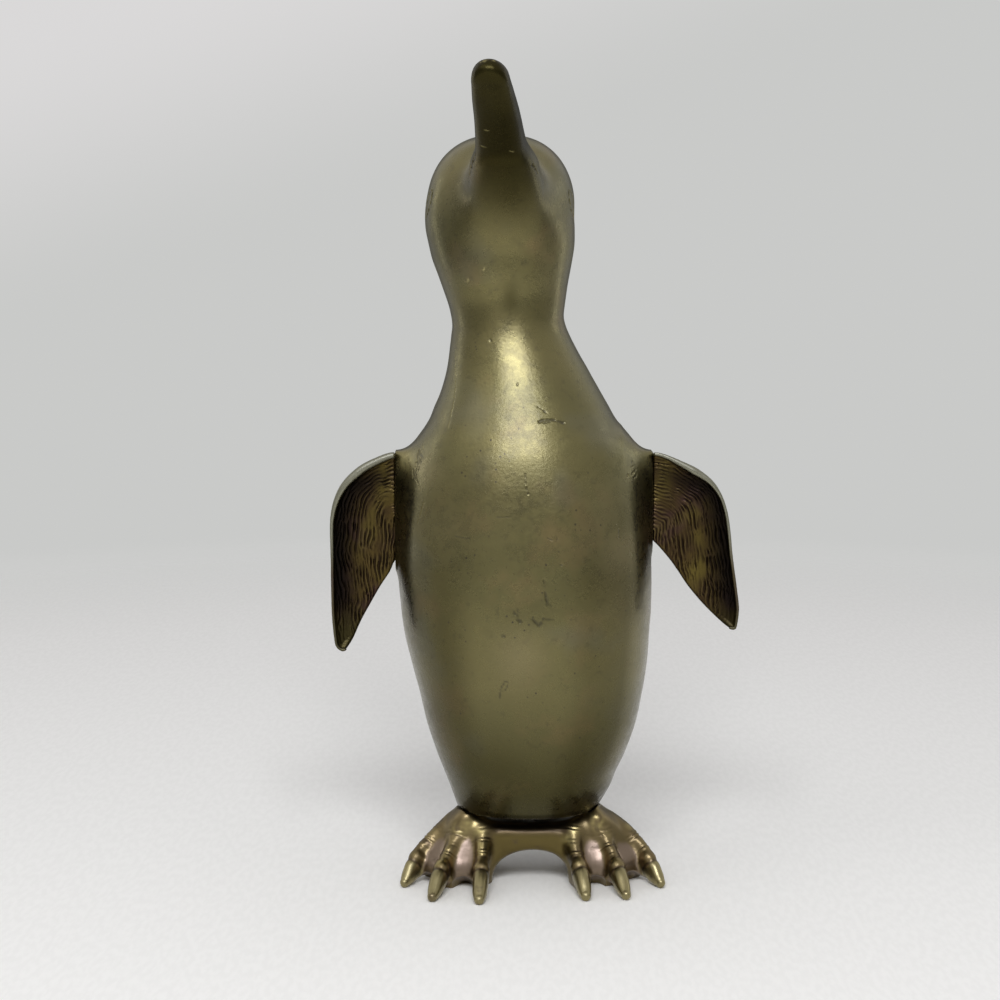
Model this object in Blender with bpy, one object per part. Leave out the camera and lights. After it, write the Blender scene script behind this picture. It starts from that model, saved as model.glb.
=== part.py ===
"""Brass penguin figurine that looks up with its flippers spread.

A hollow body cast in two halves, two flippers brazed to its shoulder stubs, and a casting of both feet
that a screw clamps to a strap inside the body. Lengths are in metres, +Z is up, the penguin faces -Y, and
its right side is at -X.
"""

import math

import bmesh
import bpy
from mathutils import Vector

# Clearances
SEAT_GAP = 0.0003
SHELL_GAP = 0.0003
THREAD_GAP = 0.0003
CUT_MARGIN = 0.002
FAR = 0.1
SMALLEST_RING = 0.0010
SHARP_ANGLE = math.radians(40)

# Hollow body
BODY_WALL = 0.0030
RIM_HEIGHT = 0.0205
HEAD_CENTRE_HEIGHT = 0.1890
HEAD_DOME_HEIGHT = 0.0228
HEAD_DOME_POWER = 2.4
# Share of the way up from the rim to the head's centre, middle sideways, middle in depth, half width and
# half depth of each level section
BODY_SECTIONS = (
    (0.0000, -0.0009, -0.0005, 0.0203, 0.0155),
    (0.0564, -0.0001, -0.0005, 0.0247, 0.0215),
    (0.1472, 0.0001, -0.0006, 0.0301, 0.0268),
    (0.2522, -0.0005, -0.0010, 0.0336, 0.0304),
    (0.3531, -0.0015, -0.0014, 0.0357, 0.0322),
    (0.4421, -0.0020, -0.0018, 0.0361, 0.0320),
    (0.5312, -0.0023, -0.0020, 0.0346, 0.0302),
    (0.6024, -0.0024, -0.0018, 0.0312, 0.0276),
    (0.6558, -0.0026, -0.0012, 0.0273, 0.0250),
    (0.7234, -0.0033, 0.0000, 0.0219, 0.0218),
    (0.7804, -0.0050, 0.0012, 0.0180, 0.0180),
    (0.8356, -0.0066, 0.0024, 0.0157, 0.0162),
    (0.9068, -0.0078, 0.0040, 0.0186, 0.0172),
    (1.0000, -0.0090, 0.0048, 0.0208, 0.0190),
)
BODY_SIDES = 44
BODY_RINGS = 30
DOME_RINGS = 9
SPLIT_ROWS = 24

# Beak
BEAK_BASE_RISE = 0.0082
BEAK_TIP_RISE = 0.0393
BEAK_BASE = Vector((-0.0072, -0.0140, HEAD_CENTRE_HEIGHT + BEAK_BASE_RISE))
BEAK_TIP = Vector((-0.0119, -0.0496, HEAD_CENTRE_HEIGHT + BEAK_TIP_RISE))
# Share of the way from base to tip, half width and half thickness
BEAK_SECTIONS = (
    (-0.20, 0.0100, 0.0086),
    (0.0, 0.0092, 0.0074),
    (0.17, 0.0080, 0.0062),
    (0.37, 0.0069, 0.0052),
    (0.58, 0.0063, 0.0043),
    (0.78, 0.0057, 0.0035),
    (0.90, 0.0051, 0.0029),
    (0.96, 0.0038, 0.0022),
    (1.0, 0.0016, 0.0011),
)
BEAK_SIDES = 20
BEAK_RINGS = 12

# Throat below the beak: rise from the head's centre, middle sideways, middle in depth, half width and half
# depth of each level section
THROAT_SECTIONS = (
    (-0.0150, -0.0076, -0.0010, 0.0135, 0.0105),
    (-0.0070, -0.0074, -0.0025, 0.0138, 0.0121),
    (-0.0010, -0.0073, -0.0050, 0.0127, 0.0125),
    (0.0040, -0.0072, -0.0090, 0.0112, 0.0115),
    (0.0090, -0.0073, -0.0135, 0.0098, 0.0106),
    (0.0140, -0.0077, -0.0190, 0.0084, 0.0083),
)
THROAT_SIDES = 24

# Tail: middle in depth, height of its middle, half width and half thickness, from root to tip
TAIL_SECTIONS = (
    (0.0160, 0.0460, 0.0125, 0.0110),
    (0.0255, 0.0345, 0.0115, 0.0060),
    (0.0305, 0.0260, 0.0100, 0.0036),
    (0.0335, 0.0190, 0.0070, 0.0018),
)
TAIL_SIDES = 16

# Shoulder stubs and flippers
STUB_PROUD = 0.0005
STUB_TOP = 0.1242
STUB_RISE = 0.0050
STUB_SPREAD = 0.0022
FLIPPER_ROOT_THICKNESS = 0.0046
FLIPPER_TIP_THICKNESS = 0.0030
FLIPPER_RIM = 0.0022
FLIPPER_DISH = 0.0012
TANG_RADIUS = 0.0012
TANG_LENGTH = 0.0032
TANG_DROP = 0.0085
FLIPPER_ROWS = 18
FLIPPER_COLUMNS = 7
STUB_ROWS = 8
# Drop below the flipper's top and reach beyond its root, down the leading edge to the tip
RIGHT_LEADING = (
    (0.0003, 0.0012),
    (0.0018, 0.0057),
    (0.0040, 0.0101),
    (0.0075, 0.0140),
    (0.0109, 0.0164),
    (0.0155, 0.0181),
    (0.0210, 0.0188),
    (0.0300, 0.0187),
    (0.0464, 0.0187),
    (0.0540, 0.0181),
    (0.0563, 0.0175),
    (0.0574, 0.0162),
)
LEFT_LEADING = (
    (0.0003, 0.0012),
    (0.0012, 0.0043),
    (0.0029, 0.0083),
    (0.0050, 0.0122),
    (0.0084, 0.0162),
    (0.0124, 0.0188),
    (0.0173, 0.0204),
    (0.0229, 0.0213),
    (0.0302, 0.0220),
    (0.0425, 0.0239),
    (0.0461, 0.0242),
    (0.0502, 0.0238),
    (0.0511, 0.0233),
)
# Drop and reach of the trailing edge, from the armpit to the tip
RIGHT_TRAILING = (
    (0.0315, 0.0000),
    (0.0349, 0.0019),
    (0.0389, 0.0046),
    (0.0442, 0.0077),
    (0.0491, 0.0104),
    (0.0540, 0.0126),
    (0.0565, 0.0142),
    (0.0574, 0.0152),
)
LEFT_TRAILING = (
    (0.0258, 0.0000),
    (0.0307, 0.0044),
    (0.0350, 0.0075),
    (0.0392, 0.0103),
    (0.0441, 0.0144),
    (0.0478, 0.0181),
    (0.0502, 0.0209),
    (0.0511, 0.0224),
)

# Feet: each toe's points are sideways place, depth, height of its back and half width at the floor
RIGHT_TOES = (
    (
        (-0.0150, -0.0020, 0.0160, 0.0036),
        (-0.0140, -0.0080, 0.0158, 0.0036),
        (-0.0139, -0.0145, 0.0102, 0.0030),
        (-0.0142, -0.0190, 0.0076, 0.0026),
        (-0.0145, -0.0240, 0.0052, 0.0023),
        (-0.0147, -0.0287, 0.0012, 0.0010),
    ),
    (
        (-0.0200, -0.0020, 0.0160, 0.0034),
        (-0.0208, -0.0065, 0.0155, 0.0032),
        (-0.0243, -0.0125, 0.0103, 0.0028),
        (-0.0258, -0.0170, 0.0078, 0.0026),
        (-0.0268, -0.0220, 0.0050, 0.0021),
        (-0.0278, -0.0262, 0.0012, 0.0010),
    ),
    (
        (-0.0240, 0.0000, 0.0165, 0.0034),
        (-0.0262, -0.0025, 0.0158, 0.0032),
        (-0.0305, -0.0052, 0.0125, 0.0030),
        (-0.0332, -0.0078, 0.0088, 0.0028),
        (-0.0350, -0.0108, 0.0052, 0.0022),
        (-0.0361, -0.0138, 0.0012, 0.0010),
    ),
)
LEFT_TOES = (
    (
        (0.0165, -0.0020, 0.0160, 0.0036),
        (0.0122, -0.0070, 0.0155, 0.0034),
        (0.0112, -0.0135, 0.0105, 0.0030),
        (0.0132, -0.0185, 0.0078, 0.0027),
        (0.0142, -0.0225, 0.0050, 0.0022),
        (0.0146, -0.0258, 0.0012, 0.0010),
    ),
    (
        (0.0190, -0.0020, 0.0160, 0.0034),
        (0.0205, -0.0075, 0.0142, 0.0032),
        (0.0232, -0.0135, 0.0098, 0.0028),
        (0.0245, -0.0170, 0.0080, 0.0027),
        (0.0257, -0.0212, 0.0050, 0.0022),
        (0.0264, -0.0250, 0.0012, 0.0010),
    ),
    (
        (0.0240, 0.0000, 0.0165, 0.0034),
        (0.0275, -0.0030, 0.0152, 0.0032),
        (0.0310, -0.0056, 0.0120, 0.0030),
        (0.0335, -0.0085, 0.0085, 0.0028),
        (0.0358, -0.0115, 0.0050, 0.0022),
        (0.0370, -0.0145, 0.0012, 0.0010),
    ),
)
WEB_EDGE_HEIGHT = 0.0030
WEB_ROOT_HEIGHT = 0.0115
WEB_UNDERCUT = 0.0010
TOE_STATIONS = 9
TOE_ARC_POINTS = 8

# Ankles: height, middle sideways, middle in depth, half width and half depth
ANKLE_SECTIONS = (
    (-CUT_MARGIN, 0.0205, 0.0020, 0.0080, 0.0095),
    (0.0060, 0.0205, 0.0010, 0.0082, 0.0090),
    (0.0120, 0.0200, 0.0000, 0.0078, 0.0084),
    (0.0175, 0.0185, 0.0000, 0.0062, 0.0078),
)
ANKLE_SIDES = 22
SADDLE_REACH = 0.0060
SADDLE_HALF_DEPTH = 0.0075

# Bridge between the feet
BRIDGE_DROP = 0.0033
BRIDGE_FRONT = -0.0125
BRIDGE_BACK = 0.0085
ARCH_HALF_WIDTH = 0.0120
ARCH_HEIGHT = 0.0096
ARCH_MIDDLE = 0.0005
ARCH_POINTS = 14

# Clamp screw, washer and strap
SCREW_MIDDLE = Vector((0.0, -0.0010))
SCREW_RADIUS = 0.0020
SCREW_HEAD_RADIUS = 0.0035
SCREW_HEAD_HEIGHT = 0.0024
SCREW_SLOT_WIDTH = 0.0010
SCREW_SLOT_DEPTH = 0.0011
SCREW_TAIL = 0.0030
WASHER_RADIUS = 0.0042
WASHER_THICKNESS = 0.0008
COUNTERBORE_ROOF = 0.0030
STRAP_RISE = 0.0060
STRAP_THICKNESS = 0.0035
STRAP_HALF_DEPTH = 0.0045
ROUND_SIDES = 32

# Colours, roughness
BODY_BRASS = (0.235, 0.205, 0.098)
FLIPPER_BRASS = (0.190, 0.135, 0.060)
FEET_BRASS = (0.330, 0.270, 0.125)
STRAP_BRASS = (0.420, 0.330, 0.150)
STEEL = (0.420, 0.420, 0.410)
SATIN = 0.38
CAST = 0.55
TURNED = 0.30


def clear_scene():
    for thing in list(bpy.data.objects):
        bpy.data.objects.remove(thing, do_unlink=True)


def metal(name, colour, roughness):
    material = bpy.data.materials.new(name)
    material.use_nodes = True
    shader = material.node_tree.nodes["Principled BSDF"]
    shader.inputs["Base Color"].default_value = (*colour, 1.0)
    shader.inputs["Metallic"].default_value = 1.0
    shader.inputs["Roughness"].default_value = roughness
    return material


def smooth_through(points, place):
    """The point of a smooth curve through points, ordered by their first value, where that value is place."""
    last = len(points) - 1
    if place <= points[0][0]:
        return points[0]
    if place >= points[last][0]:
        return points[last]
    index = next(i for i in range(last) if place <= points[i + 1][0])
    start, end = points[index], points[index + 1]
    before, after = points[max(index - 1, 0)], points[min(index + 2, last)]
    span = end[0] - start[0]
    t = (place - start[0]) / span
    result = []
    for a, p, q, b in zip(before, start, end, after):
        slope_start = (q - a) / (end[0] - before[0])
        slope_end = (b - p) / (after[0] - start[0])
        value = (2 * t**3 - 3 * t**2 + 1) * p + (3 * t**2 - 2 * t**3) * q
        value += span * ((t**3 - 2 * t**2 + t) * slope_start + (t**3 - t**2) * slope_end)
        result.append(value)
    return tuple(result)


def body_section(height):
    """Middle sideways, middle in depth, half width and half depth of the body at a height."""
    share_up = (height - RIM_HEIGHT) / (HEAD_CENTRE_HEIGHT - RIM_HEIGHT)
    section = smooth_through(BODY_SECTIONS, share_up)[1:]
    if height <= HEAD_CENTRE_HEIGHT:
        return section
    rise = min((height - HEAD_CENTRE_HEIGHT) / HEAD_DOME_HEIGHT, 1.0)
    share = (1.0 - rise**HEAD_DOME_POWER) ** (1.0 / HEAD_DOME_POWER)
    return section[0], section[1], section[2] * share, section[3] * share


def body_side(height, side):
    """Where the body's side lies at a height, with side -1 for its right and +1 for its left."""
    middle, _, half_width, _ = body_section(height)
    return middle + side * half_width


def oval(middle_x, middle_y, height, half_width, half_depth, sides):
    points = []
    for i in range(sides):
        angle = 2 * math.pi * i / sides
        points.append(Vector((
            middle_x + half_width * math.cos(angle),
            middle_y + half_depth * math.sin(angle),
            height,
        )))
    return points


def new_object(name, mesh, material=None):
    thing = bpy.data.objects.new(name, mesh)
    bpy.context.scene.collection.objects.link(thing)
    if material:
        mesh.materials.append(material)
    return thing


def loft(name, rings, material=None):
    """A closed solid through rings of equally many points, with its first and last ring filled."""
    bm = bmesh.new()
    rows = [[bm.verts.new(point) for point in ring] for ring in rings]
    for lower, upper in zip(rows, rows[1:]):
        count = len(lower)
        for i in range(count):
            j = (i + 1) % count
            bm.faces.new((lower[i], lower[j], upper[j], upper[i]))
    bm.faces.new(list(reversed(rows[0])))
    bm.faces.new(rows[-1])
    bmesh.ops.recalc_face_normals(bm, faces=bm.faces)
    # Bent four-sided faces are split, so that every Boolean works on flat ones.
    bmesh.ops.triangulate(bm, faces=bm.faces)
    mesh = bpy.data.meshes.new(name)
    bm.to_mesh(mesh)
    bm.free()
    mesh.shade_smooth()
    mesh.set_sharp_from_angle(angle=SHARP_ANGLE)
    return new_object(name, mesh, material)


def round_bar(name, middle, low, high, radius, material=None):
    rings = [oval(middle.x, middle.y, height, radius, radius, ROUND_SIDES) for height in (low, high)]
    return loft(name, rings, material)


def box(name, low, high, material=None):
    ring = [(low[0], low[1]), (high[0], low[1]), (high[0], high[1]), (low[0], high[1])]
    return loft(name, [[Vector((x, y, z)) for x, y in ring] for z in (low[2], high[2])], material)


def combine(target, operand, operation):
    """Adds a Boolean to the target and sets its operand aside as a cutter."""
    modifier = target.modifiers.new(operand.name, "BOOLEAN")
    modifier.operation = operation
    modifier.solver = "EXACT"
    modifier.object = operand
    operand.hide_render = True
    operand.display_type = "WIRE"


def body_rings(inset, low, sides):
    """Level rings of the body from a height to the top of the head, moved inwards by inset."""
    top = HEAD_CENTRE_HEIGHT + HEAD_DOME_HEIGHT - inset
    heights = [low + (HEAD_CENTRE_HEIGHT - low) * i / BODY_RINGS for i in range(BODY_RINGS + 1)]
    for i in range(1, DOME_RINGS + 1):
        rise = math.sin(0.5 * math.pi * i / (DOME_RINGS + 1))
        heights.append(HEAD_CENTRE_HEIGHT + (top - HEAD_CENTRE_HEIGHT) * rise)
    rings = []
    for height in heights:
        middle_x, middle_y, half_width, half_depth = body_section(height)
        half_width = max(half_width - inset, SMALLEST_RING)
        half_depth = max(half_depth - inset, SMALLEST_RING)
        rings.append(oval(middle_x, middle_y, height, half_width, half_depth, sides))
    return rings


def beak():
    along = BEAK_TIP - BEAK_BASE
    forward = along.normalized()
    across = forward.cross(Vector((0, 0, 1))).normalized()
    upward = across.cross(forward)
    first = BEAK_SECTIONS[0][0]
    rings = []
    for i in range(BEAK_RINGS + 1):
        share = first + (1.0 - first) * math.sin(0.5 * math.pi * i / BEAK_RINGS)
        _, half_width, half_thickness = smooth_through(BEAK_SECTIONS, share)
        middle = BEAK_BASE + along * share
        ring = []
        for k in range(BEAK_SIDES):
            angle = 2 * math.pi * k / BEAK_SIDES
            sideways = across * half_width * math.cos(angle)
            ring.append(middle + sideways + upward * half_thickness * math.sin(angle))
        rings.append(ring)
    return loft("beak_form", rings)


def throat():
    rings = []
    for rise, middle_x, middle_y, half_width, half_depth in THROAT_SECTIONS:
        rings.append(oval(middle_x, middle_y, HEAD_CENTRE_HEIGHT + rise, half_width, half_depth, THROAT_SIDES))
    return loft("throat_form", rings)


def tail():
    middle_x = body_section(TAIL_SECTIONS[0][1])[0]
    rings = []
    for i, (depth, height, half_width, half_thickness) in enumerate(TAIL_SECTIONS):
        nearer = TAIL_SECTIONS[max(i - 1, 0)]
        farther = TAIL_SECTIONS[min(i + 1, len(TAIL_SECTIONS) - 1)]
        along = Vector((0, farther[0] - nearer[0], farther[1] - nearer[1])).normalized()
        outward = Vector((0, -along.z, along.y))
        ring = []
        for k in range(TAIL_SIDES):
            angle = 2 * math.pi * k / TAIL_SIDES
            middle = Vector((middle_x, depth, height))
            sideways = Vector((half_width * math.cos(angle), 0, 0))
            ring.append(middle + sideways + outward * half_thickness * math.sin(angle))
        rings.append(ring)
    return loft("tail_form", rings)


def root_place(trailing, side):
    """Where the flipper's joint plane lies: just proud of the body's side at the armpit."""
    return body_side(STUB_TOP - trailing[0][0], side) + side * STUB_PROUD


def stub(trailing, side):
    """The shoulder stub from inside the body's wall out to the joint plane."""
    root = root_place(trailing, side)
    bottom = STUB_TOP - trailing[0][0]
    wide = FLIPPER_ROOT_THICKNESS / 2 + STUB_SPREAD
    narrow = FLIPPER_ROOT_THICKNESS / 2
    rings = []
    for i in range(STUB_ROWS + 1):
        share = i / STUB_ROWS
        height = bottom + (STUB_TOP - bottom) * share
        inner_height = height + STUB_RISE * share**2
        inner = body_side(inner_height, side) - side * BODY_WALL / 2
        middle_y = body_section(height)[1]
        rings.append([
            Vector((inner, middle_y - wide, inner_height)),
            Vector((root, middle_y - narrow, height)),
            Vector((root, middle_y + narrow, height)),
            Vector((inner, middle_y + wide, inner_height)),
        ])
    return loft("stub_form", rings)


def tang_bar(name, radius, side, inner, outer):
    """A round bar along X at the tang's height, from one sideways place to another."""
    height = STUB_TOP - TANG_DROP
    middle_y = body_section(height)[1]
    rings = []
    for place in (inner, outer):
        ring = []
        for k in range(ROUND_SIDES // 2):
            angle = 2 * side * math.pi * k / (ROUND_SIDES // 2)
            ring.append(Vector((
                place,
                middle_y + radius * math.cos(angle),
                height + radius * math.sin(angle),
            )))
        rings.append(ring)
    return loft(name, rings)


def half_space(side):
    """Everything on one side of the middle line, which follows the figure's lean up to the beak's tip."""
    body_height = HEAD_CENTRE_HEIGHT - RIM_HEIGHT
    spine = [(RIM_HEIGHT + body_height * section[0], section[1]) for section in BODY_SECTIONS]
    spine += [(BEAK_BASE.z, body_section(BEAK_BASE.z)[0]), (BEAK_TIP.z, BEAK_TIP.x)]
    low, high = -CUT_MARGIN, BEAK_TIP.z + BEAK_SECTIONS[0][2]
    rings = []
    for i in range(SPLIT_ROWS + 1):
        height = low + (high - low) * i / SPLIT_ROWS
        near = smooth_through(spine, height)[1] + side * SHELL_GAP / 2
        rings.append([
            Vector((near, -FAR, height)),
            Vector((side * FAR, -FAR, height)),
            Vector((side * FAR, FAR, height)),
            Vector((near, FAR, height)),
        ])
    return loft("half_space", rings)


def body_shell(name, trailing, side, material):
    shell = loft(name, body_rings(0.0, RIM_HEIGHT, BODY_SIDES), material)
    combine(shell, beak(), "UNION")
    combine(shell, throat(), "UNION")
    combine(shell, tail(), "UNION")
    combine(shell, stub(trailing, side), "UNION")
    cavity = loft("cavity", body_rings(BODY_WALL, RIM_HEIGHT - CUT_MARGIN, BODY_SIDES // 2))
    combine(shell, cavity, "DIFFERENCE")
    root = root_place(trailing, side)
    depth = TANG_LENGTH + SEAT_GAP
    socket = tang_bar("socket", TANG_RADIUS + SEAT_GAP, side, root - side * depth, root + side * CUT_MARGIN)
    combine(shell, socket, "DIFFERENCE")
    combine(shell, half_space(side), "INTERSECT")
    return shell


def flipper_row(leading, trailing, side, drop):
    """One level ring of the flipper, dished in front and rounded behind."""
    root = root_place(trailing, side) + side * SEAT_GAP
    outer = root + side * smooth_through(leading, drop)[1]
    inner = root + side * smooth_through(trailing, drop)[1]
    share = drop / leading[-1][0]
    thickness = FLIPPER_ROOT_THICKNESS + (FLIPPER_TIP_THICKNESS - FLIPPER_ROOT_THICKNESS) * share
    rim = min(FLIPPER_RIM, thickness)
    height = STUB_TOP - drop
    middle_y = body_section(height)[1]
    front, back = [], []
    for k in range(FLIPPER_COLUMNS + 1):
        u = k / FLIPPER_COLUMNS
        place = inner + (outer - inner) * u
        dish = FLIPPER_DISH * math.sin(math.pi * u)
        taper = (thickness - rim) * u**2
        front.append(Vector((place, middle_y - thickness / 2 + dish, height)))
        back.append(Vector((place, middle_y + thickness / 2 - taper, height)))
    return front + list(reversed(back))


def flipper(name, leading, trailing, side, material):
    first, last = leading[0][0], leading[-1][0]
    rings = []
    for i in range(FLIPPER_ROWS + 1):
        share = 0.5 - 0.5 * math.cos(math.pi * i / FLIPPER_ROWS)
        rings.append(flipper_row(leading, trailing, side, first + (last - first) * share))
    piece = loft(name, rings, material)
    root = root_place(trailing, side)
    tang = tang_bar("tang", TANG_RADIUS, side, root - side * TANG_LENGTH, root + side * CUT_MARGIN)
    combine(piece, tang, "UNION")
    return piece


def toe(points):
    """One toe with its claw: an arched back over straight sides that run below the floor."""
    numbered = [(float(i), *point) for i, point in enumerate(points)]
    rings = []
    for i in range(TOE_STATIONS):
        step = (len(points) - 1) * i / (TOE_STATIONS - 1)
        _, x, y, top, half = smooth_through(numbered, step)
        _, x_next, y_next, _, _ = smooth_through(numbered, min(step + 0.1, len(points) - 1))
        _, x_last, y_last, _, _ = smooth_through(numbered, max(step - 0.1, 0))
        across = Vector((y_last - y_next, x_next - x_last, 0)).normalized()
        ring = [Vector((x, y, -CUT_MARGIN)) - across * half]
        for k in range(TOE_ARC_POINTS + 1):
            angle = math.pi * k / TOE_ARC_POINTS
            low = min(half, top / 2)
            height = low + (top - low) * math.sin(angle)
            ring.append(Vector((x, y, height)) - across * half * math.cos(angle))
        ring.append(Vector((x, y, -CUT_MARGIN)) + across * half)
        rings.append(ring)
    return loft("toe_form", rings)


def web(first, second):
    """The skin between two toes, from under the ankle to a line between their knuckles."""
    knuckle = 2
    corners = [first[0], first[knuckle], second[knuckle], second[0]]
    heights = [WEB_ROOT_HEIGHT, WEB_EDGE_HEIGHT, WEB_EDGE_HEIGHT, WEB_ROOT_HEIGHT]
    lower = [Vector((corner[0], corner[1], WEB_UNDERCUT)) for corner in corners]
    upper = [Vector((corner[0], corner[1], height)) for corner, height in zip(corners, heights)]
    return loft("web_form", [lower, upper])


def ankle(side):
    rings = []
    for height, middle_x, middle_y, half_width, half_depth in ANKLE_SECTIONS:
        rings.append(oval(side * middle_x, middle_y, height, half_width, half_depth, ANKLE_SIDES))
    return loft("ankle_form", rings)


def saddle(side):
    """The pad on which the body's rim rests, as wide as the rim is there."""
    rim = body_side(RIM_HEIGHT, side)
    outer = rim + side * SEAT_GAP
    inner = rim - side * SADDLE_REACH
    lows = (min(inner, outer), -SADDLE_HALF_DEPTH, RIM_HEIGHT - BRIDGE_DROP - CUT_MARGIN)
    highs = (max(inner, outer), SADDLE_HALF_DEPTH, RIM_HEIGHT - SEAT_GAP)
    return box("saddle_form", lows, highs)


def bridge(top):
    """The arched bar between the ankles."""
    half_length = ANKLE_SECTIONS[-1][1]
    outline = [(half_length, top), (-half_length, top), (-half_length, -CUT_MARGIN)]
    outline.append((ARCH_MIDDLE - ARCH_HALF_WIDTH, -CUT_MARGIN))
    for k in range(ARCH_POINTS + 1):
        angle = math.pi * (1 - k / ARCH_POINTS)
        outline.append((ARCH_MIDDLE + ARCH_HALF_WIDTH * math.cos(angle), ARCH_HEIGHT * math.sin(angle)))
    outline.append((ARCH_MIDDLE + ARCH_HALF_WIDTH, -CUT_MARGIN))
    outline.append((half_length, -CUT_MARGIN))
    rings = [[Vector((x, y, z)) for x, z in outline] for y in (BRIDGE_FRONT, BRIDGE_BACK)]
    return loft("bridge_form", rings)


def feet(material):
    top = RIM_HEIGHT - BRIDGE_DROP
    casting = bridge(top)
    casting.name = "feet_casting"
    casting.data.materials.append(material)
    for side, toes in ((-1, RIGHT_TOES), (1, LEFT_TOES)):
        combine(casting, ankle(side), "UNION")
        combine(casting, saddle(side), "UNION")
        for points in toes:
            combine(casting, toe(points), "UNION")
        for first, second in zip(toes, toes[1:]):
            combine(casting, web(first, second), "UNION")
    below = box("below_floor", (-FAR, -FAR, -CUT_MARGIN * 2), (FAR, FAR, 0.0))
    combine(casting, below, "DIFFERENCE")
    under_arch = ARCH_HEIGHT / 2
    clear_hole = round_bar("clear_hole", SCREW_MIDDLE, under_arch, top + CUT_MARGIN, SCREW_RADIUS + SEAT_GAP)
    combine(casting, clear_hole, "DIFFERENCE")
    counterbore = round_bar(
        "counterbore", SCREW_MIDDLE, under_arch, top - COUNTERBORE_ROOF, WASHER_RADIUS + SEAT_GAP
    )
    combine(casting, counterbore, "DIFFERENCE")
    return casting


def cross_strap(material):
    low = RIM_HEIGHT + STRAP_RISE
    high = low + STRAP_THICKNESS
    front, back = SCREW_MIDDLE.y - STRAP_HALF_DEPTH, SCREW_MIDDLE.y + STRAP_HALF_DEPTH
    strap = box("cross_strap", (-FAR, front, low), (FAR, back, high), material)
    inside = loft("strap_limit", body_rings(BODY_WALL + SEAT_GAP, RIM_HEIGHT, BODY_SIDES))
    combine(strap, inside, "INTERSECT")
    tapped = round_bar(
        "tapped_hole", SCREW_MIDDLE, low - CUT_MARGIN, high + CUT_MARGIN, SCREW_RADIUS + THREAD_GAP
    )
    combine(strap, tapped, "DIFFERENCE")
    return strap


def washer_top():
    return RIM_HEIGHT - BRIDGE_DROP - COUNTERBORE_ROOF - SEAT_GAP


def screw_washer(material):
    high = washer_top()
    washer = round_bar("screw_washer", SCREW_MIDDLE, high - WASHER_THICKNESS, high, WASHER_RADIUS, material)
    hole = round_bar(
        "washer_hole",
        SCREW_MIDDLE,
        high - WASHER_THICKNESS - CUT_MARGIN,
        high + CUT_MARGIN,
        SCREW_RADIUS + SEAT_GAP,
    )
    combine(washer, hole, "DIFFERENCE")
    return washer


def clamp_screw(material):
    head_top = washer_top() - WASHER_THICKNESS - SEAT_GAP
    head_low = head_top - SCREW_HEAD_HEIGHT
    tail_top = RIM_HEIGHT + STRAP_RISE + STRAP_THICKNESS + SCREW_TAIL
    levels = (
        (head_low, SCREW_HEAD_RADIUS),
        (head_top, SCREW_HEAD_RADIUS),
        (head_top, SCREW_RADIUS),
        (tail_top, SCREW_RADIUS),
    )
    rings = [
        oval(SCREW_MIDDLE.x, SCREW_MIDDLE.y, height, radius, radius, ROUND_SIDES) for height, radius in levels
    ]
    screw = loft("clamp_screw", rings, material)
    slot = box(
        "screw_slot",
        (-SCREW_HEAD_RADIUS * 2, SCREW_MIDDLE.y - SCREW_SLOT_WIDTH / 2, head_low - CUT_MARGIN),
        (SCREW_HEAD_RADIUS * 2, SCREW_MIDDLE.y + SCREW_SLOT_WIDTH / 2, head_low + SCREW_SLOT_DEPTH),
    )
    combine(screw, slot, "DIFFERENCE")
    return screw


def place_on_origin(pieces):
    """Moves everything sideways so that the origin is the middle of the figure's bounding box."""
    bpy.context.view_layer.update()
    graph = bpy.context.evaluated_depsgraph_get()
    corners = [
        piece.evaluated_get(graph).matrix_world @ Vector(corner)
        for piece in pieces
        for corner in piece.evaluated_get(graph).bound_box
    ]
    middle = [(min(c[axis] for c in corners) + max(c[axis] for c in corners)) / 2 for axis in (0, 1)]
    for thing in bpy.data.objects:
        thing.location.x -= middle[0]
        thing.location.y -= middle[1]
    print("figure frame's place in the part frame", [-round(value, 6) for value in middle])


def build():
    clear_scene()
    body_brass = metal("body_brass", BODY_BRASS, SATIN)
    flipper_brass = metal("flipper_brass", FLIPPER_BRASS, CAST)
    pieces = [
        body_shell("body_shell_right", RIGHT_TRAILING, -1, body_brass),
        body_shell("body_shell_left", LEFT_TRAILING, 1, body_brass),
        flipper("flipper_right", RIGHT_LEADING, RIGHT_TRAILING, -1, flipper_brass),
        flipper("flipper_left", LEFT_LEADING, LEFT_TRAILING, 1, flipper_brass),
        feet(metal("feet_brass", FEET_BRASS, SATIN)),
        cross_strap(metal("strap_brass", STRAP_BRASS, CAST)),
        clamp_screw(metal("screw_steel", STEEL, TURNED)),
        screw_washer(metal("washer_steel", STEEL, TURNED)),
    ]
    place_on_origin(pieces)


build()
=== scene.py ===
"""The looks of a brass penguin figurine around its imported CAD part.

Shapes are written in millimetres in the figure's own frame: +Z up, the penguin faces -Y, its right side is
at -X. Each form is a field that is negative inside it, and a mesh is laid on the surface where it is zero.
"""

import math
from collections import namedtuple

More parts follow.
